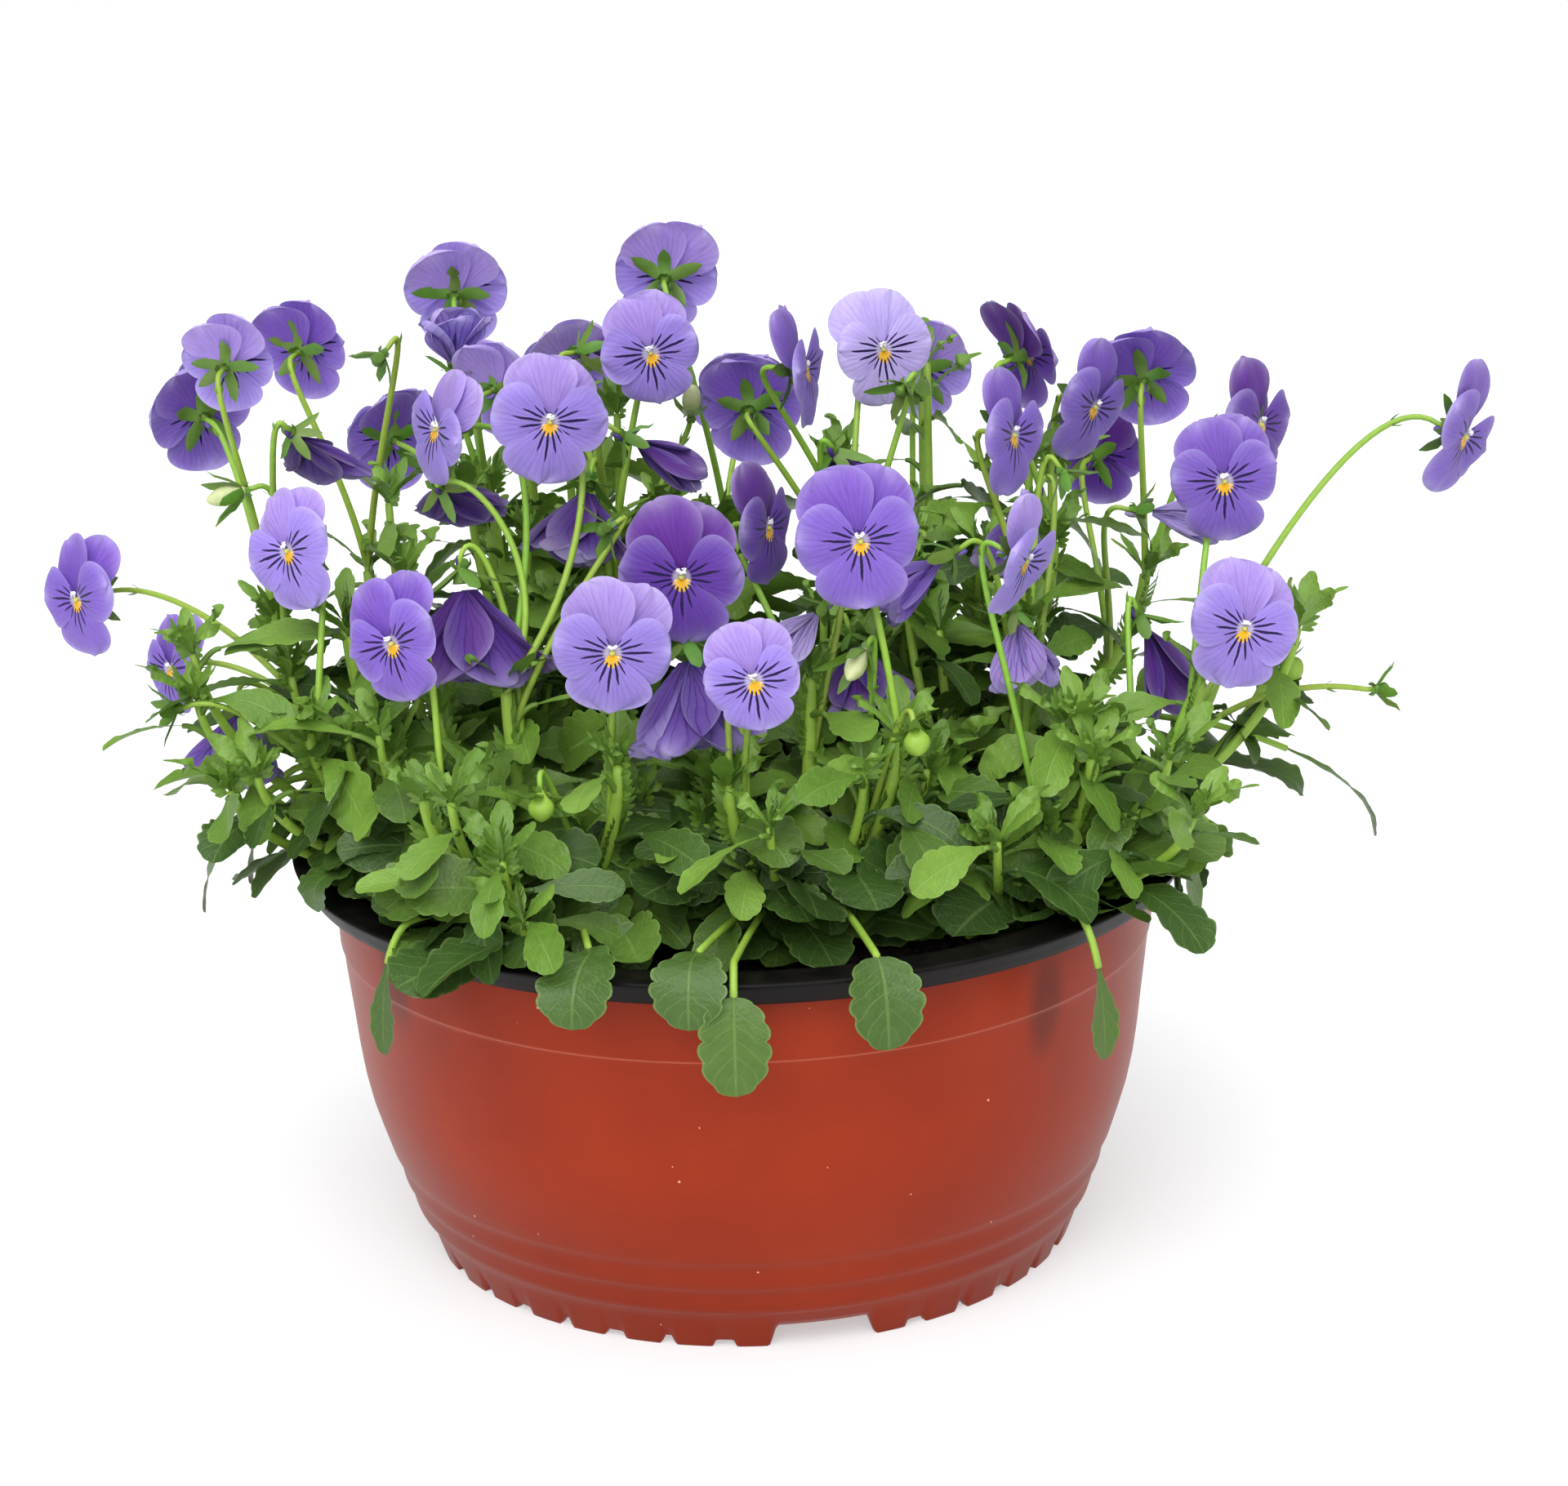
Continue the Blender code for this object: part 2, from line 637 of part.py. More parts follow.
def crown_of(base):
    """The short thick crown that a plant's shoots grow from."""
    radii = [CROWN_RADIUS, CROWN_RADIUS * 0.9, CROWN_RADIUS * 0.4]
    return rod([base - UP * 3 * MM, base, base + UP * 5 * MM], radii, 8)


def plant_of(name, base, limb_shapes, foliage):
    """One plant as one body: its crown joined with all of its limbs."""
    plant = mesh_object(name, crown_of(base), foliage)
    limbs = bpy.data.collections.new(f"limbs of {name}")
    bpy.context.scene.collection.children.link(limbs)
    for shape in limb_shapes:
        limb = mesh_object(f"limb of {name}", shape, foliage, helper=True)
        bpy.context.scene.collection.objects.unlink(limb)
        limbs.objects.link(limb)
    join = plant.modifiers.new("shoots, stalks and leaves", "BOOLEAN")
    join.operand_type = "COLLECTION"
    join.collection = limbs
    join.operation = "UNION"
    # EXACT leaves open edges where this many thin limbs cross.
    join.solver = "MANIFOLD"


def plants(foliage, blooms, solids):
    """The six plants, clear of the bowl, the soil, the flowers and each other."""
    bases = {}
    shoots = {}
    trees = {}
    for name, (x, y), tips in PLANTS:
        bases[name] = Vector((x * MM, y * MM, CROWN_BASE + 3 * MM))
        shoots[name] = [shoot_path(bases[name], Vector(tip) * MM) for tip in tips]
        trees[name] = [tree_of(rod(path, shoot_radii(path, GAP), SHOOT_SIDES)) for path in shoots[name]]
    solids = solids + [tree for _, _, tree in blooms]
    stalks = route_stalks(blooms, shoots, trees, solids)
    for plant_number, name in enumerate(shoots):
        limbs = [rod(path, shoot_radii(path), SHOOT_SIDES) for path in shoots[name]]
        limbs += [rod(path, [STALK_RADIUS] * len(path), STALK_SIDES) for path in stalks[name]]
        leaves = leaf_shapes(name, shoots[name], plant_number, trees_but(name, trees, solids))
        trees[name] += [tree_of(shape.copy()) for shape in leaves]
        plant_of(name, bases[name], limbs + leaves, foliage)


def build():
    """Makes every node of the planter."""
    for old in list(bpy.data.objects):
        bpy.data.objects.remove(old, do_unlink=True)
    plastic = material("terracotta plastic", (0.38, 0.045, 0.014, 1), 0.38)
    peat = material("damp peat", (0.022, 0.014, 0.009, 1), 0.95)
    foliage = material("leaf and stem", (0.09, 0.23, 0.05, 1), 0.5)
    tones = {name: material(f"petal {name}", colour, 0.6) for name, colour in TONES.items()}
    planter_bowl(plastic)
    soil = bmesh.new()
    soil.from_mesh(potting_soil(peat).data)
    solids = [tree_of(lathe(bowl_profile(), LATHE_STEPS)), tree_of(soil)]
    plants(foliage, flowers(tones), solids)


build()
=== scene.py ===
"""A round bedding bowl of violas in flower, drawn on the planter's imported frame. Metres, front towards -Y."""

import math
import random

import bpy
import numpy as np
from mathutils import Matrix, Vector, noise
from mathutils.bvhtree import BVHTree


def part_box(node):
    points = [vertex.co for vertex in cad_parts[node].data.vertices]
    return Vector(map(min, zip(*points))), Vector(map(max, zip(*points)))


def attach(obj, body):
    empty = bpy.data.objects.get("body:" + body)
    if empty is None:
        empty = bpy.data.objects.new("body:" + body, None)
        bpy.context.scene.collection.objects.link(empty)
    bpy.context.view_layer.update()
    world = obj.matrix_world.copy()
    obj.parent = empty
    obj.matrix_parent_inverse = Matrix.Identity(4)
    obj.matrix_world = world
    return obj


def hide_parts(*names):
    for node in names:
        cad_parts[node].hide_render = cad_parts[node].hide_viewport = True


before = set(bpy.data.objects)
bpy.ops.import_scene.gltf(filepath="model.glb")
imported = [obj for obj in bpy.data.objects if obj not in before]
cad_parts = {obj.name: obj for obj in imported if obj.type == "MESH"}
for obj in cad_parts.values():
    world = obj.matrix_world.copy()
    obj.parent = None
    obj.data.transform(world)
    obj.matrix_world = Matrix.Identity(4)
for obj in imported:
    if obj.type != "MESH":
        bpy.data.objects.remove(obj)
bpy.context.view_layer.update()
MM = 0.001
chance = random.Random(4)

# ------------------------------------------------------------------------------------------------
# The stand: a white photographer's table with broad light from above and from the front, and the
# camera a little over a metre away, looking down on the bowl at about seventeen degrees.
# ------------------------------------------------------------------------------------------------


def linear(code):
    """An sRGB hex colour as linear red, green, blue and alpha."""
    parts = [int(code[place : place + 2], 16) / 255 for place in (1, 3, 5)]
    return tuple(p / 12.92 if p <= 0.04045 else ((p + 0.055) / 1.055) ** 2.4 for p in parts) + (1.0,)


def add(tree, kind, inputs=(), **settings):
    """Adds a node. settings are its properties, and inputs are its values or what feeds it: a socket,
    or a node, whose first output in use is taken."""
    node = tree.nodes.new(f"ShaderNode{kind}")
    for name, value in settings.items():
        setattr(node, name, value)
    for name, value in dict(inputs).items():
        if isinstance(value, bpy.types.Node):
            value = next(socket for socket in value.outputs if socket.enabled)
        if isinstance(value, bpy.types.NodeSocket):
            tree.links.new(value, node.inputs[name])
        else:
            node.inputs[name].default_value = value
    return node


def finish_named(name):
    """A new material and its node tree, which is still empty."""
    made = bpy.data.materials.new(name)
    made.use_nodes = True
    made.node_tree.nodes.clear()
    return made, made.node_tree


def shown(tree, shader):
    """Sends a shader to the material's output."""
    add(tree, "OutputMaterial", {"Surface": shader})


# Two ways to mix colours: one laid over the other, and one multiplied by the other.
BLEND = {"data_type": "RGBA"}
TINT = {"data_type": "RGBA", "blend_type": "MULTIPLY"}

AIM = Vector((0.013, 0.016, 0.1444))
EYE = Vector((0.0, -1.036, 0.47))
eye = bpy.data.cameras.new("camera")
eye.lens = 83.3
camera = bpy.data.objects.new("camera", eye)
look = (AIM - EYE).to_track_quat("-Z", "Y").to_matrix().to_4x4()
camera.matrix_world = Matrix.Translation(EYE) @ look @ Matrix.Rotation(math.radians(-1.41), 4, "Z")
bpy.context.scene.collection.objects.link(camera)
bpy.context.scene.camera = camera

table_mesh = bpy.data.meshes.new("table_top")
reach = 7.0
square = [(-reach, -reach, 0), (reach, -reach, 0), (reach, reach, 0), (-reach, reach, 0)]
table_mesh.from_pydata(square, [], [(0, 1, 2, 3)])
table_top = bpy.data.objects.new("table_top", table_mesh)
bpy.context.scene.collection.objects.link(table_top)
# An opal top lit from within as well as from above, so shadows on it stay faint.
opal_floor, tree = finish_named("opal acrylic, matt")
glow = {
    "Base Color": linear("#C4C6C8"), "Roughness": 0.8, "Emission Color": linear("#FFFFFF"),
    "Emission Strength": 0.45,
}
shown(tree, add(tree, "BsdfPrincipled", glow))
table_mesh.materials.append(opal_floor)

# A white cloth hangs in a ring 3.4 m out, only as something pale to see: it neither blocks nor adds light.
CLOTH_RADIUS = 3.4
FOLDS = 64
turns = [2 * math.pi * step / FOLDS for step in range(FOLDS)]
ring = [(CLOTH_RADIUS * math.cos(t), CLOTH_RADIUS * math.sin(t), z) for z in (-0.01, 4.0) for t in turns]
sides = [(step, (step + 1) % FOLDS, (step + 1) % FOLDS + FOLDS, step + FOLDS) for step in range(FOLDS)]
cloth_mesh = bpy.data.meshes.new("backdrop")
cloth_mesh.from_pydata(ring, [], sides)
backdrop = bpy.data.objects.new("backdrop", cloth_mesh)
bpy.context.scene.collection.objects.link(backdrop)
for ray in ("shadow", "diffuse", "glossy", "transmission"):
    setattr(backdrop, f"visible_{ray}", False)
cotton, tree = finish_named("white cotton, lit through")
shown(tree, add(tree, "Emission", {"Color": linear("#FFFFFF"), "Strength": 1.0}))
cloth_mesh.materials.append(cotton)

sky = bpy.data.worlds.new("white room")
sky.use_nodes = True
sky.node_tree.nodes["Background"].inputs["Color"].default_value = (1, 1, 1, 1)
sky.node_tree.nodes["Background"].inputs["Strength"].default_value = 0.24
bpy.context.scene.world = sky
bpy.context.scene.view_settings.view_transform = "Standard"

# A broad light above, which leaves only a soft shadow round the foot, and one over the viewer's left
# shoulder: the way each shines, its power and its breadth in degrees.
LIGHTS = (("overhead", (0.0, 0.15, -1.0), 2.1, 80), ("frontal", (0.14, 0.88, -0.75), 2.5, 60))
for name, ahead, power, breadth in LIGHTS:
    broad = bpy.data.lights.new(name, "SUN")
    broad.energy = power
    broad.angle = math.radians(breadth)
    lamp = bpy.data.objects.new(name, broad)
    lamp.rotation_euler = Vector(ahead).to_track_quat("-Z", "Y").to_euler()
    bpy.context.scene.collection.objects.link(lamp)

# ------------------------------------------------------------------------------------------------
# The bowl: one thin moulding of two plastics pressed together, terracotta outside and black
# inside, with a rolled rim, soft steps low on its wall and a notched ring that it stands on.
# ------------------------------------------------------------------------------------------------


def new_piece():
    """A piece in the making: its sheets of points, with what each one carries."""
    return {"points": [], "faces": [], "uv": [], "tone": [], "marks": [], "slots": [], "count": 0}


def add_sheet(piece, points, uv=None, tone=(1, 1, 1), marks=(0, 0, 0), slot=0, round_=False):
    """Adds rows by columns of points as a sheet of quads. round_ joins its last column to its first."""
    points = np.asarray(points, float)
    rows, columns = points.shape[:2]
    index = piece["count"] + np.arange(rows * columns).reshape(rows, columns)
    if round_:
        index = np.hstack([index, index[:, :1]])
    low, high = index[:-1], index[1:]
    quads = np.stack([low[:, :-1], low[:, 1:], high[:, 1:], high[:, :-1]], -1).reshape(-1, 4)
    piece["points"].append(points.reshape(-1, 3))
    piece["faces"].append(quads)
    piece["uv"].append(np.zeros((rows * columns, 2)) if uv is None else np.reshape(uv, (-1, 2)))
    for key, value in (("tone", tone), ("marks", marks)):
        colour = np.broadcast_to(np.asarray(value, float), (rows, columns, 3)).reshape(-1, 3)
        piece[key].append(np.hstack([colour, np.ones((rows * columns, 1))]))
    piece["slots"].append(np.full(len(quads), slot))
    piece["count"] += rows * columns


def finish_piece(name, piece, materials, nodes):
    """Makes the object of a piece. nodes are the CAD nodes that it stands for."""
    points = np.concatenate(piece["points"])
    faces = np.concatenate(piece["faces"])
    mesh = bpy.data.meshes.new(name)
    mesh.vertices.add(len(points))
    mesh.vertices.foreach_set("co", points.ravel())
    mesh.loops.add(faces.size)
    mesh.loops.foreach_set("vertex_index", faces.ravel())
    mesh.polygons.add(len(faces))
    mesh.polygons.foreach_set("loop_start", np.arange(0, faces.size, 4))
    mesh.polygons.foreach_set("material_index", np.concatenate(piece["slots"]))
    spread = np.concatenate(piece["uv"])[faces.ravel()]
    mesh.uv_layers.new(name="spread").uv.foreach_set("vector", spread.ravel())
    for key in ("tone", "marks"):
        layer = mesh.attributes.new(key, "FLOAT_COLOR", "POINT")
        layer.data.foreach_set("color", np.concatenate(piece[key]).ravel())
    for made in materials:
        mesh.materials.append(made)
    mesh.update(calc_edges=True)
    mesh.validate()
    mesh.shade_smooth()
    thing = bpy.data.objects.new(name, mesh)
    bpy.context.scene.collection.objects.link(thing)
    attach(thing, "root")
    if nodes:
        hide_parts(*nodes)
    return thing


RIM_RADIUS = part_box("planter_bowl")[1][0]
FOOT_RADIUS = 98.5
FOOT_BAND = 9.0

# The wall outside, as (radius, height) in millimetres. Each step is a short round edge. Then the
# rolled lip, up, over and down, and the wall inside.
OUTSIDE = (
    (98.5, 0), (98.7, 0.6), (99.6, 3), (100.6, 6), (101.5, 9), (102.6, 11.6), (103.6, 12.6), (104.4, 13.4),
    (104.9, 15), (105.5, 18.5), (106.1, 20.4), (107.0, 21.4), (107.6, 22.4), (108.1, 25), (108.7, 28),
    (109.4, 29.8), (110.2, 30.8), (110.8, 32), (112.2, 36.5), (113.6, 41), (115.6, 48), (117.2, 56),
    (118.4, 65), (119.5, 76), (120.6, 86), (121.5, 95), (121.7, 96.3), (122.2, 96.8), (122.3, 97.6),
    (122.5, 104), (122.8, 112), (122.9, 119), (123.0, 121.2),
)
LIP = (
    (124.2, 121.6), (129.5, 121.4), (131.2, 120.2), (130.4, 117.6), (130.2, 117.1), (130.6, 116.8),
    (131.2, 117.1), (132.4, 119.2), (133.9, 121.6), (134.7, 122.8), (134.9, 123.4), (134.5, 123.9),
    (133.5, 124.0), (129.0, 124.0), (125.0, 124.0), (123.4, 123.7), (122.3, 122.6), (121.7, 120),
)
INSIDE = (
    (121.2, 112), (120.8, 98), (119.8, 90), (118.0, 74), (115.6, 54), (112.0, 40), (107.0, 26), (103.0, 14),
)


def foot_lift(turn):
    """How far the foot ring is cut back at an angle from the front: long gaps and two kinds of notch."""
    lift = 0.0
    for quarter in range(4):
        start = 11 + 90 * quarter
        cuts = [(start, 14.5, 6.5, 3.0)]
        for place in range(7):
            half, depth = (1.6, 2.8) if place % 2 else (3.0, 2.2)
            cuts.append((start + 16.5 + 9.5 * place, half, depth, 1.4))
        for middle, half, depth, slope in cuts:
            away = abs((turn - middle + 180) % 360 - 180) * math.pi / 180 * FOOT_RADIUS
            share = min(max((half + slope / 2 - away) / slope, 0), 1)
            lift = max(lift, depth * share * share * (3 - 2 * share))
    return lift


steps = 720
foot_inside = FOOT_RADIUS - 2.6
profile = [(foot_inside, FOOT_BAND), (foot_inside, 5), (foot_inside, 0.4), (FOOT_RADIUS - 2.2, 0)]
profile += [(FOOT_RADIUS - 0.5, 0), *OUTSIDE, *LIP, *INSIDE]
lip_start = 5 + len(OUTSIDE) - 1
rows = []
for radius, height in profile:
    row = []
    for step in range(steps):
        turn = 360 * step / steps
        lift = foot_lift(turn) if height < FOOT_BAND and radius < 102 else 0.0
        z = lift + height * (1 - lift / FOOT_BAND) if lift else height
        angle = math.radians(turn)
        row.append((radius * math.sin(angle) * MM, -radius * math.cos(angle) * MM, z * MM))
    rows.append(row)
bowl = new_piece()
add_sheet(bowl, rows[: lip_start + 1], slot=0, round_=True)
add_sheet(bowl, rows[lip_start:], slot=1, round_=True)
# The floor under the soil, in two plain rings, and between them a band with the round drain holes.
FLOOR = 9.4
WALL = 1.3
DRAIN_HOLES = 8
DRAIN_RADIUS = 4.5
DRAIN_CIRCLE = 62
BAND_INSIDE = 52
BAND_OUTSIDE = 72
turns = [math.radians(360 * step / 160) for step in range(160)]
for radii in ((96.1, 90, 80, BAND_OUTSIDE), (BAND_INSIDE, 30, 10, 0.02)):
    rings = [[(r * math.sin(t) * MM, -r * math.cos(t) * MM, FLOOR * MM) for t in turns] for r in radii]
    add_sheet(bowl, rings, slot=0, round_=True)
for hole in range(DRAIN_HOLES):
    middle = 360 * hole / DRAIN_HOLES
    half = 180 / DRAIN_HOLES
    corners = ((BAND_INSIDE, -half), (BAND_OUTSIDE, -half), (BAND_OUTSIDE, half), (BAND_INSIDE, half))
    outline = []
    for (near, start), (far, end) in zip(corners, corners[1:] + corners[:1]):
        for step in range(20):
            radius = near + (far - near) * step / 20
            turn = math.radians(middle + start + (end - start) * step / 20)
            outline.append(Vector((radius * math.cos(turn), radius * math.sin(turn), FLOOR)) * MM)
    turn = math.radians(middle)
    centre = Vector((DRAIN_CIRCLE * math.cos(turn), DRAIN_CIRCLE * math.sin(turn), FLOOR)) * MM
    edge = [centre + (point - centre).normalized() * DRAIN_RADIUS * MM for point in outline]
    top = [point + Vector((0, 0, WALL * MM)) for point in edge]
    add_sheet(bowl, [top, edge, outline], slot=0, round_=True)


def blot(tree, place, degrees, height, wide, tall):
    """A soft oval mark on the wall: 1 in its middle, falling to 0. degrees are round from the front, and
    wide and tall are its half sizes in millimetres."""
    spot = add(tree, "SeparateXYZ", {"Vector": place})
    ahead = add(tree, "Math", {0: spot.outputs["Y"], 1: -1.0}, operation="MULTIPLY")
    turn = add(tree, "Math", {0: spot.outputs["X"], 1: ahead}, operation="ARCTAN2")
    away = add(tree, "Math", {0: turn, 1: math.radians(degrees)}, operation="SUBTRACT")
    sideways = add(tree, "Math", {0: away, 1: 122 / wide}, operation="MULTIPLY")
    over = add(tree, "Math", {0: spot.outputs["Z"], 1: height * MM}, operation="SUBTRACT")
    upwards = add(tree, "Math", {0: over, 1: 1 / (tall * MM)}, operation="MULTIPLY")
    flat = add(tree, "CombineXYZ", {"X": sideways, "Y": upwards})
    length = add(tree, "VectorMath", {0: flat}, operation="LENGTH")
    faded = {"Value": length, "From Min": 1.0, "From Max": 0.25}
    return add(tree, "MapRange", faded, interpolation_type="SMOOTHSTEP")


terracotta, tree = finish_named("terracotta polypropylene, thermoformed")
place = add(tree, "TexCoord").outputs["Object"]
# Cooling leaves a faint cloudiness about 40 mm across in the plastic.
cloud = add(tree, "TexNoise", {"Vector": place, "Scale": 26.0, "Detail": 3.0})
body = add(tree, "ValToRGB", {"Fac": cloud})
body.color_ramp.elements[0].position = 0.3
body.color_ramp.elements[0].color = linear("#8C2708")
body.color_ramp.elements[1].position = 0.75
body.color_ramp.elements[1].color = linear("#982E0B")
# Painted shade: the wall is darkened towards the foot, from 60 mm up down to about three quarters of its
# colour.
level = add(tree, "SeparateXYZ", {"Vector": place})
painted_foot_shade = add(tree, "MapRange", {"Value": level.outputs["Z"], "From Max": 60 * MM, "To Min": 0.74})
foot_shaded = add(tree, "Mix", {"Factor": 1.0, 6: body, 7: painted_foot_shade}, **TINT)
# Two painted reflections of dark things: soft dark patches below the rim, which fade to half strength about 7
# mm to their sides.
left_dark_reflection = blot(tree, place, -55, 104, 11, 21)
right_dark_reflection = blot(tree, place, 43, 98, 10, 22)
dark_reflection = add(tree, "Math", {0: left_dark_reflection, 1: right_dark_reflection}, operation="MAXIMUM")
reflection_strength = add(tree, "Math", {0: dark_reflection, 1: 0.55}, operation="MULTIPLY")
reflected_wall = add(tree, "Mix", {"Factor": reflection_strength, 6: foot_shaded, 7: linear("#35190F")}, **BLEND)
# Painted highlight: a pale hair line 97 mm up, light caught on the real step of the mould's parting line.
seam_band = add(tree, "Math", {0: level.outputs["Z"], 1: 96.6 * MM, 2: 0.35 * MM}, operation="COMPARE")
painted_seam_highlight = add(tree, "Math", {0: seam_band, 1: 0.3}, operation="MULTIPLY")
seam_lit = add(tree, "Mix", {"Factor": painted_seam_highlight, 6: reflected_wall, 7: linear("#D8785A")}, **BLEND)
# Dust: pale specks just under a millimetre across, few and scattered.
speck = add(tree, "TexVoronoi", {"Vector": place, "Scale": 130.0, "Randomness": 1.0})
dot = add(tree, "Math", {0: speck, 1: 0.05}, operation="LESS_THAN")
pick = add(tree, "TexNoise", {"Vector": place, "Scale": 60.0})
some = add(tree, "Math", {0: pick, 1: 0.56}, operation="GREATER_THAN")
dust = add(tree, "Math", {0: dot, 1: some}, operation="MULTIPLY")
dusty = add(tree, "Mix", {"Factor": dust, 6: seam_lit, 7: linear("#E0A080")}, **BLEND)
# Scuffs: short level scratches a fraction of a millimetre wide, a little darker than the wall.
stretched = add(tree, "Mapping", {"Vector": place, "Scale": (90.0, 90.0, 1500.0)})
drag = add(tree, "TexNoise", {"Vector": stretched, "Scale": 1.0, "Detail": 2.0})
scratch = add(tree, "MapRange", {"Value": drag, "From Min": 0.68, "From Max": 0.76, "To Max": 0.3})
scuffed = add(tree, "Mix", {"Factor": scratch, 6: dusty, 7: linear("#6A2412")}, **BLEND)
skin = add(tree, "TexNoise", {"Vector": place, "Scale": 700.0, "Detail": 2.0})
peel = add(tree, "Bump", {"Height": skin, "Strength": 0.1, "Distance": 0.0004})
rub = add(tree, "MapRange", {"Value": cloud, "To Min": 0.32, "To Max": 0.44})
wall = {"Base Color": scuffed, "Roughness": rub, "Normal": peel, "IOR": 1.45, "Specular IOR Level": 0.2}
shown(tree, add(tree, "BsdfPrincipled", wall))

black_plastic, tree = finish_named("black polypropylene, thermoformed")
place = add(tree, "TexCoord").outputs["Object"]
# Damp peat leaves a thin brown bloom on the rim, in patches about 8 mm across.
bloom = add(tree, "TexNoise", {"Vector": place, "Scale": 120.0, "Detail": 6.0, "Roughness": 0.7})
grime = add(tree, "ValToRGB", {"Fac": bloom})
grime.color_ramp.elements[0].position = 0.42
grime.color_ramp.elements[0].color = linear("#070606")
grime.color_ramp.elements[1].position = 0.78
grime.color_ramp.elements[1].color = linear("#1A1512")
dull = add(tree, "MapRange", {"Value": bloom, "To Min": 0.3, "To Max": 0.62})
skin = add(tree, "TexNoise", {"Vector": place, "Scale": 700.0, "Detail": 2.0})
peel = add(tree, "Bump", {"Height": skin, "Strength": 0.15, "Distance": 0.0004})
lining = {"Base Color": grime, "Roughness": dull, "Normal": peel, "Specular IOR Level": 0.12}
shown(tree, add(tree, "BsdfPrincipled", lining))
finish_piece("bowl_shell", bowl, [terracotta, black_plastic], ["planter_bowl"])

# ------------------------------------------------------------------------------------------------
# The soil: damp black peat with crumbs up to a few millimetres and a few bark chips. It lies a
# finger's breadth below the rim, and a little lower by the wall.
# ------------------------------------------------------------------------------------------------

SOIL_TOP = 0.108
SOIL_RADIUS = 0.1206
SOIL_UNDERSIDE = 0.0115
CRUMBS = 900
CRUMB_REACH = 0.118


def soil_height(x, y):
    """The soil's surface: flat, a little lower by the wall, and crumbly at three sizes."""
    radius = math.hypot(x, y)
    spot = Vector((x, y, 0.0))
    height = SOIL_TOP - 0.002 * (radius / 0.12) ** 2
    height += 0.0016 * noise.noise(spot / 0.016) + 0.0011 * noise.noise(spot / 0.006)
    return height + 0.0008 * noise.noise(spot / 0.0025)


soil = new_piece()
rows = []
for ring in range(70):
    radius = SOIL_RADIUS * (1 - ring / 69.5)
    turns = [2 * math.pi * step / 260 for step in range(260)]
    row = [(radius * math.cos(t), radius * math.sin(t)) for t in turns]
    rows.append([(x, y, soil_height(x, y)) for x, y in row])
add_sheet(soil, rows, round_=True)
# The soil's underside shows through the drain holes.
turns = [2 * math.pi * step / 80 for step in range(80)]
under = [[(r * math.cos(t), r * math.sin(t), SOIL_UNDERSIDE) for t in turns] for r in (0.1, 0.05, 0.001)]
add_sheet(soil, under, round_=True)


def add_crumb(piece, centre, size, slot, seed):
    """A lump about as wide as size, knocked out of round."""
    rows = []
    for lat in range(5):
        tilt = math.pi * lat / 4
        row = []
        for lon in range(8):
            turn = 2 * math.pi * lon / 8
            level = math.sin(tilt)
            way = Vector((level * math.cos(turn), level * math.sin(turn), 0.7 * math.cos(tilt)))
            swell = 1 + 0.5 * noise.noise(way * 1.7 + Vector((seed, 0, 0)))
            row.append(centre + way * size / 2 * swell)
        rows.append(row)
    add_sheet(piece, rows, slot=slot, round_=True)


for number in range(CRUMBS):
    turn = chance.uniform(0, 2 * math.pi)
    radius = CRUMB_REACH * math.sqrt(chance.random())
    size = chance.choice((1.5, 2, 2.5, 3, 4.5)) * MM
    x, y = radius * math.cos(turn), radius * math.sin(turn)
    # Every fourteenth crumb is a chip of bark.
    centre = Vector((x, y, soil_height(x, y) + 0.2 * size))
    add_crumb(soil, centre, size, 1 if number % 14 == 0 else 0, number * 1.3)

peat, tree = finish_named("damp peat, crumbled")
place = add(tree, "TexCoord").outputs["Object"]
# Fibres and lumps of peat differ at about 3 mm, and damp lumps are near black.
grain = add(tree, "TexNoise", {"Vector": place, "Scale": 330.0, "Detail": 8.0, "Roughness": 0.65})
earth = add(tree, "ValToRGB", {"Fac": grain})
earth.color_ramp.elements[0].position = 0.35
earth.color_ramp.elements[0].color = linear("#130E0B")
earth.color_ramp.elements[1].position = 0.75
earth.color_ramp.elements[1].color = linear("#3A2A1F")
rough = add(tree, "Bump", {"Height": grain, "Strength": 0.8, "Distance": 0.0015})
shown(tree, add(tree, "BsdfPrincipled", {"Base Color": earth, "Roughness": 0.92, "Normal": rough}))

bark, tree = finish_named("composted bark, chipped")
place = add(tree, "TexCoord").outputs["Object"]
grain = add(tree, "TexNoise", {"Vector": place, "Scale": 500.0, "Detail": 5.0})
fibre = add(tree, "ValToRGB", {"Fac": grain})
fibre.color_ramp.elements[0].color = linear("#3A2416")
fibre.color_ramp.elements[1].color = linear("#8A6244")
shown(tree, add(tree, "BsdfPrincipled", {"Base Color": fibre, "Roughness": 0.85}))
finish_piece("soil_surface", soil, [peat, bark], ["potting_soil"])

# ------------------------------------------------------------------------------------------------
# The flowers: each has two upper petals behind, two side petals and a broad lower one, thin and
# velvety, round a yellow eye. The lower three carry dark rays. Five green sepals and a short spur
# sit behind. Some are open, and some are folded, still opening or already faded.
# ------------------------------------------------------------------------------------------------

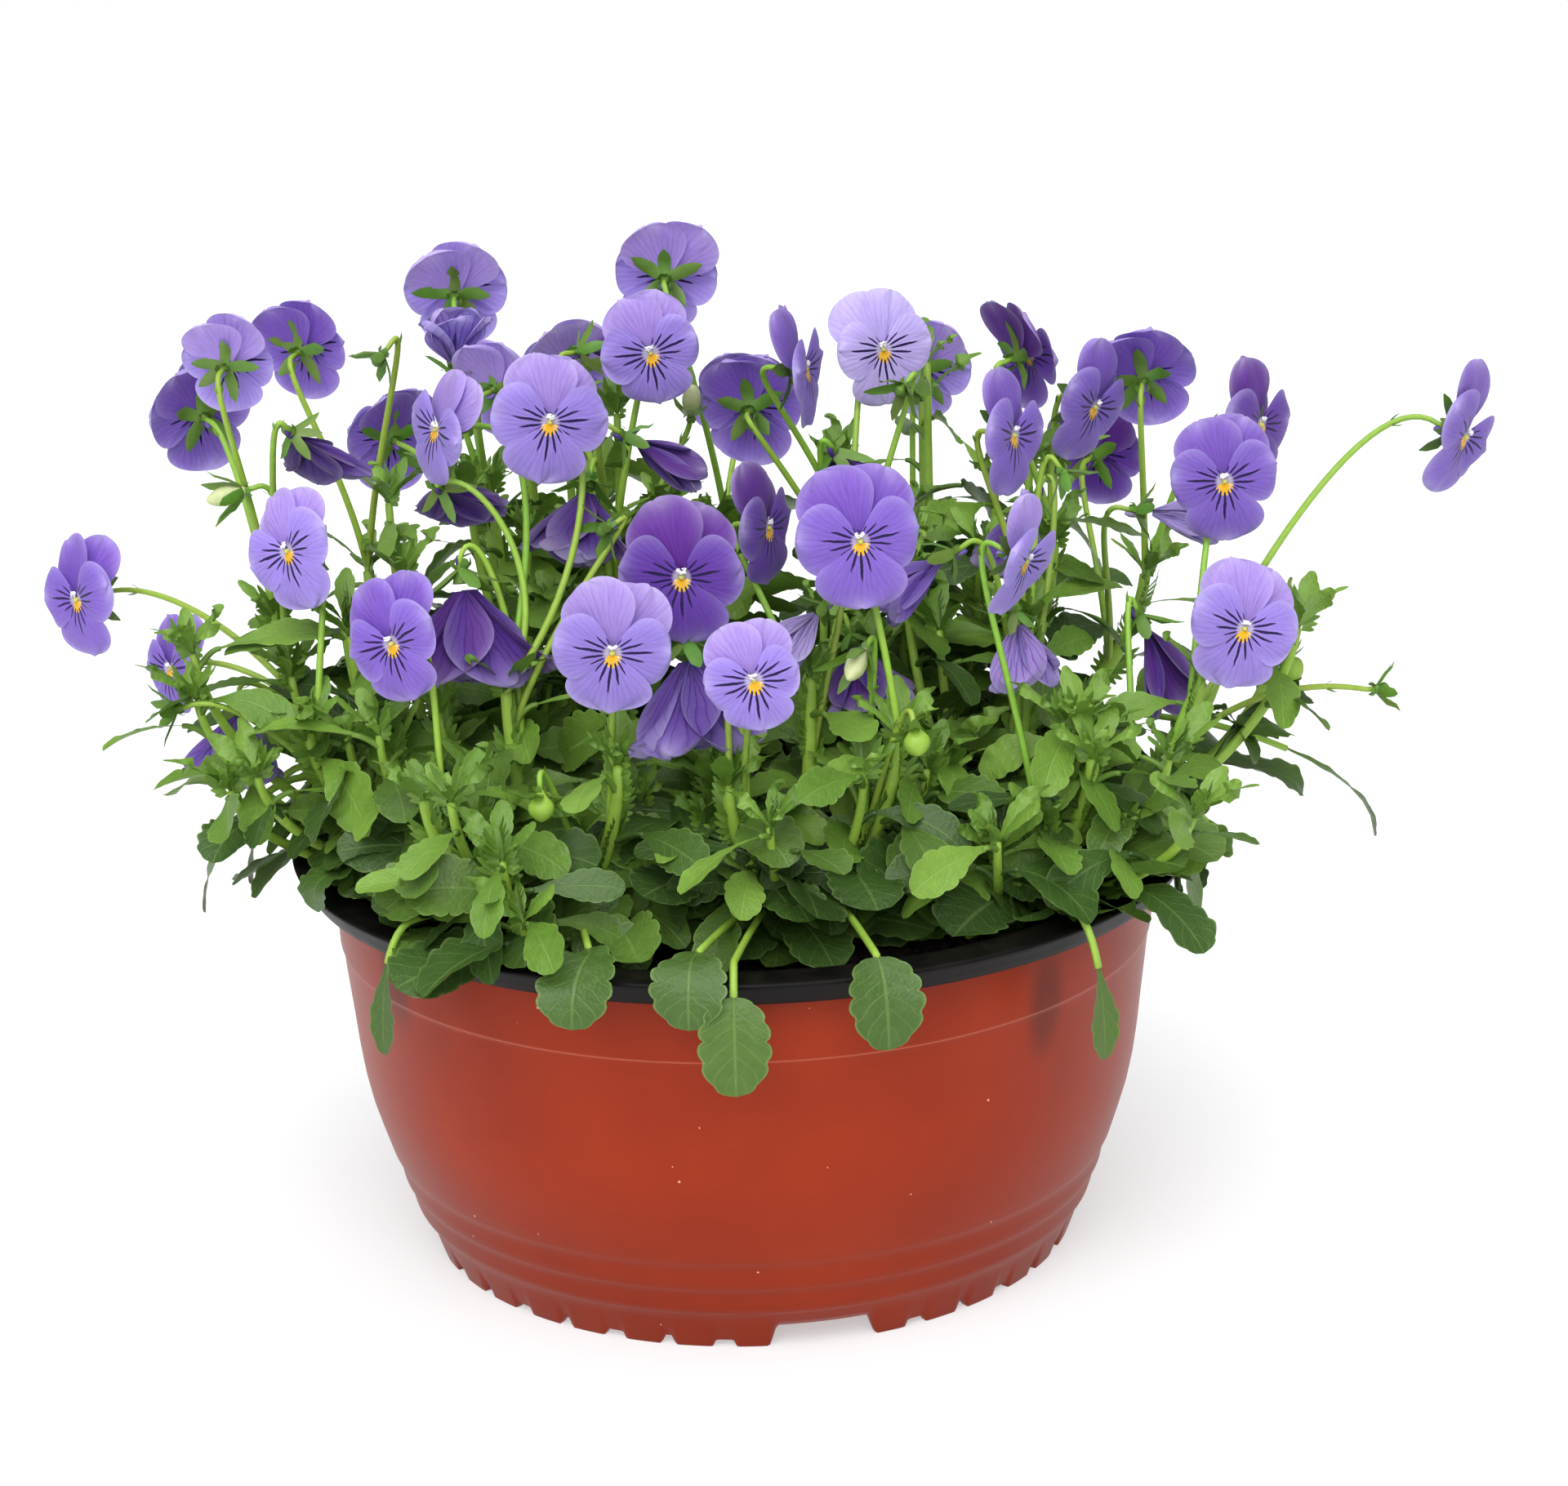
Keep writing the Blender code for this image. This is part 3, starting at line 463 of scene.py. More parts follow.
# The way each flower looks, in the order of the CAD's flower nodes: degrees round from the front,
# degrees up, roll, colour and form. Places and sizes are read from the nodes themselves.
BLOOMS = (
    (170, 10, 5, "light", "open"), (-150, 5, -8, "violet", "open"), (160, 8, 0, "violet", "open"),
    (180, 12, 0, "light", "open"), (20, 70, 0, "light", "folded"), (178, 5, 10, "light", "open"),
    (0, 0, 12, "light", "open"), (10, 0, -10, "light", "open"), (-60, 5, -10, "light", "open"),
    (150, 5, 0, "light", "open"), (120, 0, 0, "purple", "folded"), (100, -35, 0, "purple", "folded"),
    (-20, -50, 0, "purple", "folded"), (75, 0, 5, "violet", "open"), (20, 5, 5, "pale", "open"),
    (170, 5, 0, "violet", "open"), (150, -45, 0, "purple", "folded"), (3, 2, 4, "violet", "open"),
    (-5, 3, 3, "purple", "open"), (60, 0, -5, "purple", "open"), (-3, 0, -5, "light", "open"),
    (0, 3, 10, "light", "open"), (30, -75, 0, "violet", "folded"), (-32, 0, 22, "violet", "open"),
    (-38, 5, 28, "light", "open"), (-44, 2, 14, "violet", "open"), (150, -40, 0, "purple", "folded"),
    (15, -72, 0, "purple", "folded"), (165, -30, 0, "purple", "folded"), (-52, 2, 8, "violet", "open"),
    (-20, -70, 0, "violet", "folded"), (55, 0, -15, "violet", "open"), (120, 10, 10, "purple", "open"),
    (46, -14, -25, "violet", "open"), (168, 22, -12, "violet", "open"), (50, -4, -12, "purple", "open"),
    (0, 5, 5, "violet", "open"), (4, 8, -15, "light", "open"), (52, -18, -32, "violet", "open"),
    (58, -20, -20, "light", "open"), (-60, -60, 0, "purple", "folded"), (-90, -35, 0, "violet", "folded"),
    (40, -80, 0, "light", "folded"), (70, -65, 0, "purple", "folded"), (85, -10, 0, "pale", "folded"),
    (-70, -40, 0, "pale", "folded"), (30, -60, 0, "purple", "folded"), (205, 5, 5, "violet", "open"),
    (190, 8, -8, "light", "open"), (178, 5, 0, "violet", "open"), (165, 5, 10, "light", "open"),
    (150, 5, 0, "purple", "open"),
)
TONES = {
    "light": linear("#A189E2")[:3],
    "violet": linear("#8565CA")[:3],
    "purple": linear("#633AA2")[:3],
    "pale": linear("#BEADE8")[:3],
}
# The upper two petals are paler than the rest on a light flower, and redder and darker on a purple one.
UPPER_SHARES = {
    "light": (1.25, 1.22, 1.03), "violet": (0.95, 0.8, 0.95), "purple": (1.0, 0.55, 0.85),
    "pale": (1, 1, 1),
}

# Shares of a flower's height: how tall an open CAD flower is and how deep a folded one, how far its
# throat is below its top, and how far its spur reaches back.
OPEN_SPAN = 0.949
FOLDED_SPAN = 0.85
THROAT_DROP = 0.515
SPUR_SHARE = 0.17


def bloom_turn(azimuth, pitch, roll):
    """Turns a flower from looking along +Y, with its top up, to its own direction."""
    turn = Matrix.Rotation(math.radians(azimuth - 180), 3, "Z")
    return turn @ Matrix.Rotation(math.radians(pitch), 3, "X") @ Matrix.Rotation(math.radians(roll), 3, "Y")


def bloom_place(node, turn, form):
    """Where a CAD flower's throat is, and how high it is, measured in the flower's own directions."""
    points = np.array([v.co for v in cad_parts[node].data.vertices])
    own = points @ np.array(turn)
    low, high = own.min(0), own.max(0)
    if form == "open":
        height = (high[2] - low[2]) / OPEN_SPAN
        up = high[2] - THROAT_DROP * height
    else:
        height = (high[1] - low[1]) / FOLDED_SPAN
        up = (low[2] + high[2]) / 2
    throat = Vector(((low[0] + high[0]) / 2, low[1] + SPUR_SHARE * height, up))
    return turn @ throat, height


def add_petal(
    piece, turn, throat, aim, length, width, back, close, cup, reflex, ruffle, flat, tone, rays, eye_share,
    seed,
):
    """One petal, as a sheet from the throat outwards. aim is its direction in the flower's face, in degrees
    from the right. back is how far behind the face it starts, close folds it forward in degrees, cup bends
    its edges and reflex its tip, and flat presses the folded flower into a fan."""
    rows, columns = 19, 15
    v = 0.03 + 0.97 * np.sin(np.linspace(0, math.pi / 2, rows))[:, None]
    u = np.linspace(-1, 1, columns)[None, :]
    claw = 0.13 + 0.87 * np.sin(np.clip(v / 0.6, 0, 1) * math.pi / 2) ** 1.15
    tip = np.sqrt(np.clip(1 - (np.clip(v - 0.6, 0, 1) / 0.4) ** 2, 0, 1))
    half = width / 2 * np.where(v > 0.6, tip, claw)
    across = u * half
    # The waves die away at the very tip, where the sides meet.
    calm = np.sqrt(tip)
    wavy = 1 + calm * (0.05 * np.sin(4.4 * u + seed) + 0.03 * np.sin(8.1 * u + 2.3 * seed)) * v**3
    along = v * length * wavy
    rim = np.maximum(np.abs(u) ** 3, 0 * v) * v + v**5
    gather = calm * (np.sin(5.5 * u + seed) * 0.6 + np.sin(9.5 * u + 2.7 * seed) * 0.4)
    out = -back - reflex * length * v**2.4 + cup * width * u**2 * v + ruffle * length * rim * gather
    arch = np.sin(v * math.pi)
    out = out + 0.05 * length * arch + 0.004 * length * np.sin(11 * u + seed) * arch
    lean = math.radians(close)
    forward = along * math.sin(lean) + out * math.cos(lean)
    outward = along * math.cos(lean) - out * math.sin(lean)
    a = math.radians(aim)
    x = outward * math.cos(a) - across * math.sin(a)
    z = outward * math.sin(a) + across * math.cos(a)
    local = np.stack([x * (2 - flat), forward, z * flat], -1)
    world = local @ np.array(turn).T + np.array(throat)
    # The pattern's coordinates: the angle about the throat, and the distance from it in centimetres.
    uv = np.stack([np.arctan2(across, along + 0.0005) / math.pi + 0.5, np.hypot(across, along) * 100], -1)
    marks = np.zeros((rows, columns, 3))
    marks[:, :, 0] = rays
    marks[:, :, 1] = eye_share
    marks[:, :, 2] = np.maximum(np.abs(u) ** 5 * v, v**9)
    add_sheet(piece, world, uv, tone, marks)


def add_ribbon(piece, points, widths, facing, tone=(1, 1, 1), slot=0, columns=3, fold=0.0):
    """A narrow green sheet along the points, such as a sepal. fold raises its edges."""
    count = len(points)
    rows, uv = [], []
    for index, point in enumerate(points):
        ahead = points[min(index + 1, count - 1)] - points[max(index - 1, 0)]
        side = ahead.cross(facing).normalized()
        lift = side.cross(ahead).normalized()
        shares = [2 * column / (columns - 1) - 1 for column in range(columns)]
        width = widths[index]
        rows.append([point + side * width / 2 * s + lift * fold * width * abs(s) for s in shares])
        uv.append([(s * 0.5 + 0.5, index / (count - 1)) for s in shares])
    add_sheet(piece, rows, uv, tone, slot=slot)


def add_rod(piece, points, radii, sides, tone=(1, 1, 1), slot=0, ridge=0.0):
    """A round stem along the points, with its tip drawn in. ridge makes it angular."""
    count = len(points)
    across = (points[1] - points[0]).orthogonal().normalized()
    rows, uv = [], []
    for index, point in enumerate(points):
        ahead = (points[min(index + 1, count - 1)] - points[max(index - 1, 0)]).normalized()
        across = (across - ahead * across.dot(ahead)).normalized()
        over = ahead.cross(across)
        row = []
        for side in range(sides):
            turn = 2 * math.pi * side / sides
            radius = radii[index] * (1 + ridge * math.cos(4 * turn))
            row.append(point + (across * math.cos(turn) + over * math.sin(turn)) * radius)
        rows.append(row)
        uv.append([(side / sides, index / (count - 1)) for side in range(sides)])
    rows.append([points[-1] + (points[-1] - points[-2]).normalized() * radii[-1] * 0.4] * sides)
    uv.append([(0, 1)] * sides)
    add_sheet(piece, rows, uv, tone, slot=slot, round_=True)


petal_skin, tree = finish_named("viola petal, velvety")
tone = add(tree, "Attribute", attribute_name="tone")
marks = add(tree, "SeparateColor", {"Color": add(tree, "Attribute", attribute_name="marks")})
spread = add(tree, "SeparateXYZ", {"Vector": add(tree, "UVMap", uv_map="spread")})
angle, distance = spread.outputs["X"], spread.outputs["Y"]
place = add(tree, "TexCoord").outputs["Object"]
# Fine streaks run out from the throat, a fraction of a millimetre wide and a few millimetres long.
fan = add(tree, "Math", {0: angle, 1: 70.0}, operation="MULTIPLY")
along = add(tree, "Math", {0: distance, 1: 1.6}, operation="MULTIPLY")
fanned = add(tree, "CombineXYZ", {"X": fan, "Y": along})
streak = add(tree, "TexNoise", {"Vector": fanned, "Scale": 1.0, "Detail": 3.0, "Roughness": 0.6})
streaked = add(
    tree, "MapRange", {"Value": streak, "From Min": 0.35, "From Max": 0.7, "To Min": 1.08, "To Max": 0.84},
)
base = add(tree, "Mix", {"Factor": 1.0, 6: tone, 7: streaked}, **TINT)
# Veins fan out about seven degrees apart, a shade darker and redder than the petal.
wander = add(tree, "TexNoise", {"Vector": place, "Scale": 180.0, "Detail": 2.0})
bent = add(tree, "Math", {0: wander, 1: 0.045, 2: angle}, operation="MULTIPLY_ADD")
signed = add(tree, "Math", {0: bent, 1: 0.5225}, operation="SUBTRACT")
comb = add(tree, "Math", {0: signed, 1: 160.0}, operation="MULTIPLY")
wave = add(tree, "Math", {0: comb}, operation="COSINE")
# They stand out most on a folded petal, which is marked by a negative share of the eye.
bold = add(
    tree, "MapRange",
    {"Value": marks.outputs["Green"], "From Min": -1.0, "From Max": 0.0, "To Min": 0.85, "To Max": 0.25},
)
vein = add(tree, "MapRange", {"Value": wave, "From Min": 0.55, "From Max": 1.0, "To Max": bold})
deep = add(tree, "Mix", {"Factor": 1.0, 6: tone, 7: linear("#B48CD8")}, **TINT)
veined = add(tree, "Mix", {"Factor": vein, 6: base, 7: deep}, **BLEND)
# The margin is thin, so it looks paler and sets each petal off from the next.
bleached = add(tree, "Mix", {"Factor": 0.45, 6: tone, 7: linear("#EAE4FF")}, **BLEND)
margin = add(tree, "Math", {0: marks.outputs["Blue"], 1: 0.75}, operation="MULTIPLY")
edged = add(tree, "Mix", {"Factor": margin, 6: veined, 7: bleached}, **BLEND)
# Dark rays on the lower three petals: half a millimetre wide, ending 5 to 11 mm from the throat.
stripe = add(tree, "Math", {0: signed, 1: 66.0}, operation="MULTIPLY")
crest = add(tree, "Math", {0: stripe}, operation="COSINE")
aside = add(tree, "Math", {0: signed}, operation="ABSOLUTE")
furthest = add(tree, "MapRange", {"Value": aside, "From Max": 0.28, "To Min": 1.15, "To Max": 0.5})
share = add(tree, "Math", {0: distance, 1: furthest}, operation="DIVIDE")
narrow = add(
    tree, "MapRange", {"Value": share, "From Min": 0.45, "From Max": 1.0, "To Min": 0.1, "To Max": 1.0},
)
over = add(tree, "Math", {0: crest, 1: narrow}, operation="SUBTRACT")
ray = add(tree, "MapRange", {"Value": over, "From Min": 0.0, "From Max": 0.12})
rayed = add(tree, "Math", {0: ray, 1: marks.outputs["Red"]}, operation="MULTIPLY")
inked = add(tree, "Mix", {"Factor": rayed, 6: edged, 7: linear("#1E0C48")}, **BLEND)
# The eye: an orange-yellow tongue on the lower petal, toothed by the rays, with white beside and
# above it.
halo = add(tree, "MapRange", {"Value": distance, "From Min": 0.3, "From Max": 0.2})
ringed = add(tree, "Math", {0: halo, 1: marks.outputs["Green"]}, operation="MULTIPLY")
whitened = add(tree, "Mix", {"Factor": ringed, 6: inked, 7: linear("#F4EEFA")}, **BLEND)
tongue = add(tree, "MapRange", {"Value": aside, "From Max": 0.36, "To Min": 0.44, "To Max": 0.28})
toothed = add(tree, "Math", {0: ray, 1: -0.12, 2: tongue}, operation="MULTIPLY_ADD")
inside = add(tree, "Math", {0: toothed, 1: distance}, operation="SUBTRACT")
spot = add(tree, "MapRange", {"Value": inside, "From Min": 0.0, "From Max": 0.05})
only_lower = add(tree, "Math", {0: marks.outputs["Green"], 1: 0.8}, operation="GREATER_THAN")
spotted = add(tree, "Math", {0: spot, 1: only_lower}, operation="MULTIPLY")
gold = add(tree, "Mix", {"Factor": spot, 6: linear("#FADC3C"), 7: linear("#F8BC20")}, **BLEND)
eyed = add(tree, "Mix", {"Factor": spotted, 6: whitened, 7: gold}, **BLEND)
# The velvet is a little mottled at about 2 mm.
mottle = add(tree, "TexNoise", {"Vector": place, "Scale": 420.0, "Detail": 3.0})
light = add(tree, "MapRange", {"Value": mottle, "To Min": 0.92, "To Max": 1.08})
final = add(tree, "Mix", {"Factor": 1.0, 6: eyed, 7: light}, **TINT)
height = add(tree, "Math", {0: wave, 1: -0.3, 2: streak}, operation="MULTIPLY_ADD")
relief = add(tree, "Bump", {"Height": height, "Strength": 0.22, "Distance": 0.0004})
nap = {
    "Base Color": final, "Roughness": 0.6, "Normal": relief, "Sheen Weight": 0.15,
    "Specular IOR Level": 0.3,
}
velvet = add(tree, "BsdfPrincipled", nap)
through = add(tree, "BsdfTranslucent", {"Color": final, "Normal": relief})
shown(tree, add(tree, "MixShader", {0: 0.28, 1: velvet, 2: through}))

fresh_green, tree = finish_named("young stem and sepal, smooth")
tone = add(tree, "Attribute", attribute_name="tone")
place = add(tree, "TexCoord").outputs["Object"]
# A slight mottling, about 2.5 mm across.
mottle = add(tree, "TexNoise", {"Vector": place, "Scale": 400.0, "Detail": 3.0})
light = add(tree, "MapRange", {"Value": mottle, "To Min": 0.82, "To Max": 1.18})
sap = add(tree, "Mix", {"Factor": 1.0, 6: tone, 7: light}, **TINT)
relief = add(tree, "Bump", {"Height": mottle, "Strength": 0.2, "Distance": 0.0003})
firm = add(tree, "BsdfPrincipled", {"Base Color": sap, "Roughness": 0.42, "Normal": relief})
through = add(tree, "BsdfTranslucent", {"Color": sap})
shown(tree, add(tree, "MixShader", {0: 0.22, 1: firm, 2: through}))

beard_white, tree = finish_named("petal beard, white hairs")
place = add(tree, "TexCoord").outputs["Object"]
tuft = add(tree, "TexNoise", {"Vector": place, "Scale": 2500.0, "Detail": 2.0})
fluff = add(tree, "Bump", {"Height": tuft, "Strength": 0.6, "Distance": 0.0003})
hair = add(tree, "Mix", {"Factor": tuft, 6: linear("#FFFFFF"), 7: linear("#E4E2EC")}, **BLEND)
shown(tree, add(tree, "BsdfPrincipled", {"Base Color": hair, "Roughness": 0.8, "Normal": fluff}))

SEPAL_GREEN = linear("#698F38")[:3]


def add_calyx(piece, at, h, facing, slot, spread_out):
    """Five blunt sepals behind a flower or a pod, each with a short ear that points back along the stalk."""
    for number in range(5):
        angle = math.radians(90 + 72 * number + chance.uniform(-15, 15))
        x, z = math.cos(angle), math.sin(angle)
        reach = chance.uniform(0.25, 0.37)
        lift = spread_out + chance.uniform(-0.03, 0.03)
        stations = [(0.02, -0.15), (0.08, -0.115)]
        stations += [(0.17, -0.1 + 0.4 * lift), (reach * 0.8, -0.1 + lift), (reach, -0.1 + 1.3 * lift)]
        middle = [at(x * r, y, z * r) for r, y in stations]
        green = [part * chance.uniform(0.85, 1.15) for part in SEPAL_GREEN]
        widths = [0.06 * h, 0.1 * h, 0.115 * h, 0.085 * h, 0.014 * h]
        add_ribbon(piece, middle, widths, facing, green, slot, fold=0.14)
        ear = [at(x * r, y, z * r) for r, y in ((0.03, -0.13), (0.065, -0.165), (0.07, -0.205))]
        along = (middle[2] - middle[0]).normalized()
        add_ribbon(piece, ear, [0.05 * h, 0.06 * h, 0.02 * h], along, green, slot)


calyx_ends = []
for number, (azimuth, pitch, roll, tone_name, form) in enumerate(BLOOMS, 1):
    node = f"flower_{number:02d}"
    turn = bloom_turn(azimuth, pitch, roll)
    throat, h = bloom_place(node, turn, form)
    chance.seed(100 + number)
    flower = new_piece()
    # A flower's tone differs at random, and a folded one is painted a fifth darker: painted shade, as folded
    # flowers hang in the shade of the others.
    tone_and_folded_shade = chance.uniform(0.9, 1.12) * (1.0 if form == "open" else 0.8)
    tone = [min(1.0, part * tone_and_folded_shade) for part in TONES[tone_name]]
    upper = [part * share for part, share in zip(tone, UPPER_SHARES[tone_name])]
    # aim, length, width, back, close, cup, reflex, colour, rays and eye of each petal.
    if form == "open":
        crisp, flat = chance.uniform(0.03, 0.055), 1.0
        petals = (
            (68, 0.54, 0.57, 0.05, -8, -0.05, 0.06, upper, 0, 0),
            (113, 0.54, 0.57, 0.09, -11, -0.05, 0.06, upper, 0, 0),
            (8, 0.425, 0.51, -0.008, 8, -0.1, 0.1, tone, 1, 0.5),
            (172, 0.425, 0.51, 0.0, 8, -0.1, 0.1, tone, 1, 0.5),
            (-90, 0.47, 0.64, -0.014, 4, -0.09, 0.1, tone, 1, 1),
        )
    else:
        crisp, flat = 0.1, 0.6
        petals = (
            (50, 0.74, 0.56, 0.02, 62, 0.12, 0.0, upper, 0.5, -1),
            (130, 0.76, 0.56, 0.04, 66, 0.12, 0.0, tone, 0.5, -1),
            (-14, 0.72, 0.46, 0.0, 60, 0.12, 0.05, tone, 0.7, -1),
            (194, 0.7, 0.46, 0.0, 57, 0.12, 0.05, upper, 0.7, -1),
            (-90, 0.7, 0.56, 0.0, 68, 0.1, 0.08, tone, 0.7, -1),
        )
    # A folded flower that looks up is only just opening, so its petals are still nearly shut.
    furled = 9 if form == "folded" and pitch > 20 else 0
    for aim, length, width, back, close, cup, reflex, colour, rays, eye_share in petals:
        aim += chance.uniform(-5, 5)
        close += chance.uniform(-6, 6) + furled
        length *= chance.uniform(0.95, 1.04)
        add_petal(
            flower, turn, throat, aim, length * h, width * h, back * h, close, cup, reflex, crisp, flat,
            colour, rays, eye_share, chance.uniform(0, 6),
        )

    def at(x, y, z):
        return throat + turn @ Vector((x * h, y * h, z * h))

    facing = turn @ Vector((0, 1, 0))
    add_calyx(flower, at, h, facing, 1, -0.05 if form == "open" else 0.1)
    neck = [at(0, -0.04, 0), at(0, -0.1, 0), at(0, -0.15, 0.005), at(0, -SPUR_SHARE, 0.01)]
    add_rod(flower, neck, [0.07 * h, 0.055 * h, 0.04 * h, 0.025 * h], 8, SEPAL_GREEN, 1)
    spur = [at(0, -0.1, -0.03), at(0, -0.17, -0.045), at(0, -0.23, -0.04)]
    add_rod(flower, spur, [0.035 * h, 0.028 * h, 0.02 * h], 8, tone, 1)
    if form == "open":
        # Two tufts of white hairs above the eye, and the pale green stigma between them.
        for hair in range(14):
            side = 1 if hair % 2 else -1
            root = at(side * chance.uniform(0.015, 0.036), 0.03, chance.uniform(0.035, 0.065))
            way = (-side * chance.uniform(0.3, 1.4), chance.uniform(0.3, 0.9), chance.uniform(-0.5, 0.4))
            end = root + turn @ Vector(way) * MM
            add_rod(flower, [root, root.lerp(end, 0.6), end], [0.24 * MM, 0.22 * MM, 0.1 * MM], 5, slot=2)
        stigma = [at(0, -0.03, 0.005), at(0, 0.02, 0.0), at(0, 0.035, -0.004)]
        add_rod(flower, stigma, [0.014 * h, 0.022 * h, 0.014 * h], 8, linear("#D8D468")[:3], 1)
    calyx_ends.append((throat - facing * SPUR_SHARE * h, facing))
    parts = [petal_skin, fresh_green, beard_white]
    finish_piece(f"bloom_{number:02d}", flower, parts, [node])

# ------------------------------------------------------------------------------------------------
# The plants: from each crown thick juicy shoots lean out and turn up. Leaves on stalks, each with
# a pair of comb-toothed stipules, stand along them, and the thin flower stalks leave their joints.
# ------------------------------------------------------------------------------------------------

# Where each crown stands and where its main shoots end, in millimetres, as in the CAD.
PLANTS = (
    ("plant_left", (-84, -6), ((-124, -38, 168), (-138, 14, 188), (-112, 38, 196))),
    ("plant_front_left", (-54, -62), ((-88, -80, 160), (-66, -50, 182), (-34, -78, 168))),
    ("plant_front_centre", (14, -54), ((-4, -82, 162), (20, -52, 184), (44, -72, 172))),
    ("plant_right", (74, -42), ((98, -72, 164), (132, -40, 178), (84, -22, 190))),
    ("plant_back_left", (-40, 44), ((-74, 36, 208), (-36, 18, 206), (-50, 88, 192), (-2, 62, 198))),
    ("plant_back_right", (60, 38), ((34, 22, 202), (96, 26, 202), (126, 46, 186), (56, 86, 190))),
)
# Leaves that hang over the rim: their plant, where each tip ends in millimetres, their width and how
# high they pass over the rim.
RIM_LEAVES = (
    ("plant_front_left", (-47, -138, 114), 22, 130),
    ("plant_front_centre", (-16, -141, 114), 21, 130),
    ("plant_front_centre", (-4, -144, 96), 20, 129),
    ("plant_front_centre", (37, -139, 106), 21, 130),
    ("plant_right", (98, -106, 88), 11, 130),
    ("plant_front_left", (-101, -102, 94), 10, 130),
    ("plant_left", (-122, -66, 124), 19, 134),
    ("plant_right", (128, -62, 108), 14, 140),
    ("plant_right", (166, -16, 134), 24, 146),
    ("plant_back_right", (192, 8, 112), 17, 152),
    ("plant_left", (-160, -20, 108), 17, 148),
    ("plant_left", (-150, 10, 106), 12, 144),
    ("plant_back_left", (-96, 108, 112), 19, 134),
    ("plant_back_left", (-30, 141, 104), 21, 134),
    ("plant_back_right", (28, 141, 118), 22, 134),
    ("plant_back_right", (84, 116, 108), 19, 134),
)
STEM_GREEN = linear("#9FC64A")[:3]
UP = Vector((0, 0, 1))
FLAT = Vector((1, 1, 0))
GOLDEN_TURN = math.radians(137.5)
SIDE_SHOOTS = 14
SPRAWLING_SHOOTS = 4
LOW_LEAVES = 12


def bezier(start, first, second, end, count):
    """Points along a cubic curve, both ends included."""
    points = []
    for step in range(count + 1):
        t = step / count
        s = 1 - t
        points.append(start * s**3 + first * 3 * s * s * t + second * 3 * s * t * t + end * t**3)
    return points


def shoot_path(base, tip, count):
    """A shoot that leaves its crown outwards and then turns up."""
    lean = (tip - base) * FLAT
    rise = Vector((0, 0, tip.z - base.z))
    return bezier(base, base + lean * 0.5 + rise * 0.25, base + lean * 0.95 + rise * 0.6, tip, count)


def stalk_path(start, end, facing, side, bow):
    """A flower's stalk: slanting up from the shoot, over behind the flower, and into its calyx."""
    length = (end - start).length
    neck = end - facing * 2 * MM
    back = neck - facing * 0.2 * length + UP * 0.04 * length + side * bow * 0.6
    out = start.lerp(end, 0.3) + UP * 0.2 * length + side * bow
    return bezier(start, out, back, neck, 22) + [end]


bloom_trees = []
for number in range(1, len(BLOOMS) + 1):
    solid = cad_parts[f"flower_{number:02d}"].data
    corners = [vertex.co for vertex in solid.vertices]
    bloom_trees.append(BVHTree.FromPolygons(corners, [face.vertices for face in solid.polygons]))


def misses_blooms(path):
    """True if a stalk along the path goes through no flower, with its own flower's calyx left out."""
    for start, end in zip(path[:-3], path[1:-2]):
        ahead = end - start
        for tree in bloom_trees:
            crossed = tree.ray_cast(start, ahead, ahead.length)[0] is not None
            if crossed or tree.find_nearest(end, 1.6 * MM)[0] is not None:
                return False
    return True


def clear_stalk(start, end, facing):
    """The straightest stalk that passes the other flowers."""
    for bow in (0, 6, 12, 18, 26, 34):
        for turn in range(0, 360, 30) if bow else (0,):
            side = Vector((math.cos(math.radians(turn)), math.sin(math.radians(turn)), 0))
            path = stalk_path(start, end, facing, side, bow * MM)
            if misses_blooms(path):
                return path
    return stalk_path(start, end, facing, UP, 0)


def lowest(x, y):
    """How low a leaf may hang at a place: on the soil inside the bowl, and on the rim where it crosses it."""
    radius = np.hypot(x, y) / MM
    return np.interp(radius, (0, 104, 119, 135.6, 136.4), (111, 112, 125, 125, -9)) * MM


def add_leaf(piece, midline, width, facing, tone, teeth, kind, fold, seed):
    """A leaf blade along its midline, with a scalloped edge, raised a little either side of its midrib.
    A round leaf is as broad at its base, and a long one tapers into its stalk."""
    rows, columns = 43, 7
    samples = []
    for step in range(rows):
        t = step / (rows - 1) * (len(midline) - 1)
        low = min(int(t), len(midline) - 2)
        samples.append(midline[low].lerp(midline[low + 1], t - low))
    u = np.linspace(-1, 1, columns)
    sheet = np.zeros((rows, columns, 3))
    uv = np.zeros((rows, columns, 2))
    marks = np.zeros((rows, columns, 3))
    for index, point in enumerate(samples):
        v = index / (rows - 1)
        ahead = samples[min(index + 1, rows - 1)] - samples[max(index - 1, 0)]
        side = ahead.cross(facing).normalized()
        lift = side.cross(ahead).normalized()
        if kind == "round":
            widest, rest = 0.56, 0.44
            body = math.sqrt(max(1 - abs((v - widest) / (widest if v < widest else rest)) ** 2.1, 0))
        else:
            widest = 0.62
            swell = 0.16 + 0.84 * math.sin(v / widest * math.pi / 2) ** 2
            body = swell if v < widest else math.sqrt(max(1 - ((v - widest) / (1 - widest)) ** 2, 0))
        lobe = abs(math.sin(math.pi * (teeth * v + 0.5))) ** 0.55
        depth = 0.16 * min(v / 0.12, 1)
        half = width / 2 * max(body * (1 - depth + depth * lobe), 0.012)
        wave = 0.1 * half * np.sin(7 * v + 2 * seed) * u * np.abs(u)
        quilt = 0.028 * half * np.sin(teeth * 2 * math.pi * (v - 0.3 * np.abs(u))) * np.abs(u)
        up = fold * half * np.abs(u) ** 1.4 + wave + quilt
        sheet[index] = np.array(point) + np.outer(half * u, side) + np.outer(up, lift)
        uv[index, :, 0] = u / 2 + 0.5
        uv[index, :, 1] = v
    sheet[:, :, 2] = np.maximum(sheet[:, :, 2], lowest(sheet[:, :, 0], sheet[:, :, 1]) + 0.3 * MM)
    marks[:, :, 0] = seed % 1
    marks[:, :, 2] = np.abs(u)[None, :] ** 3
    add_sheet(piece, sheet, uv, tone, marks)


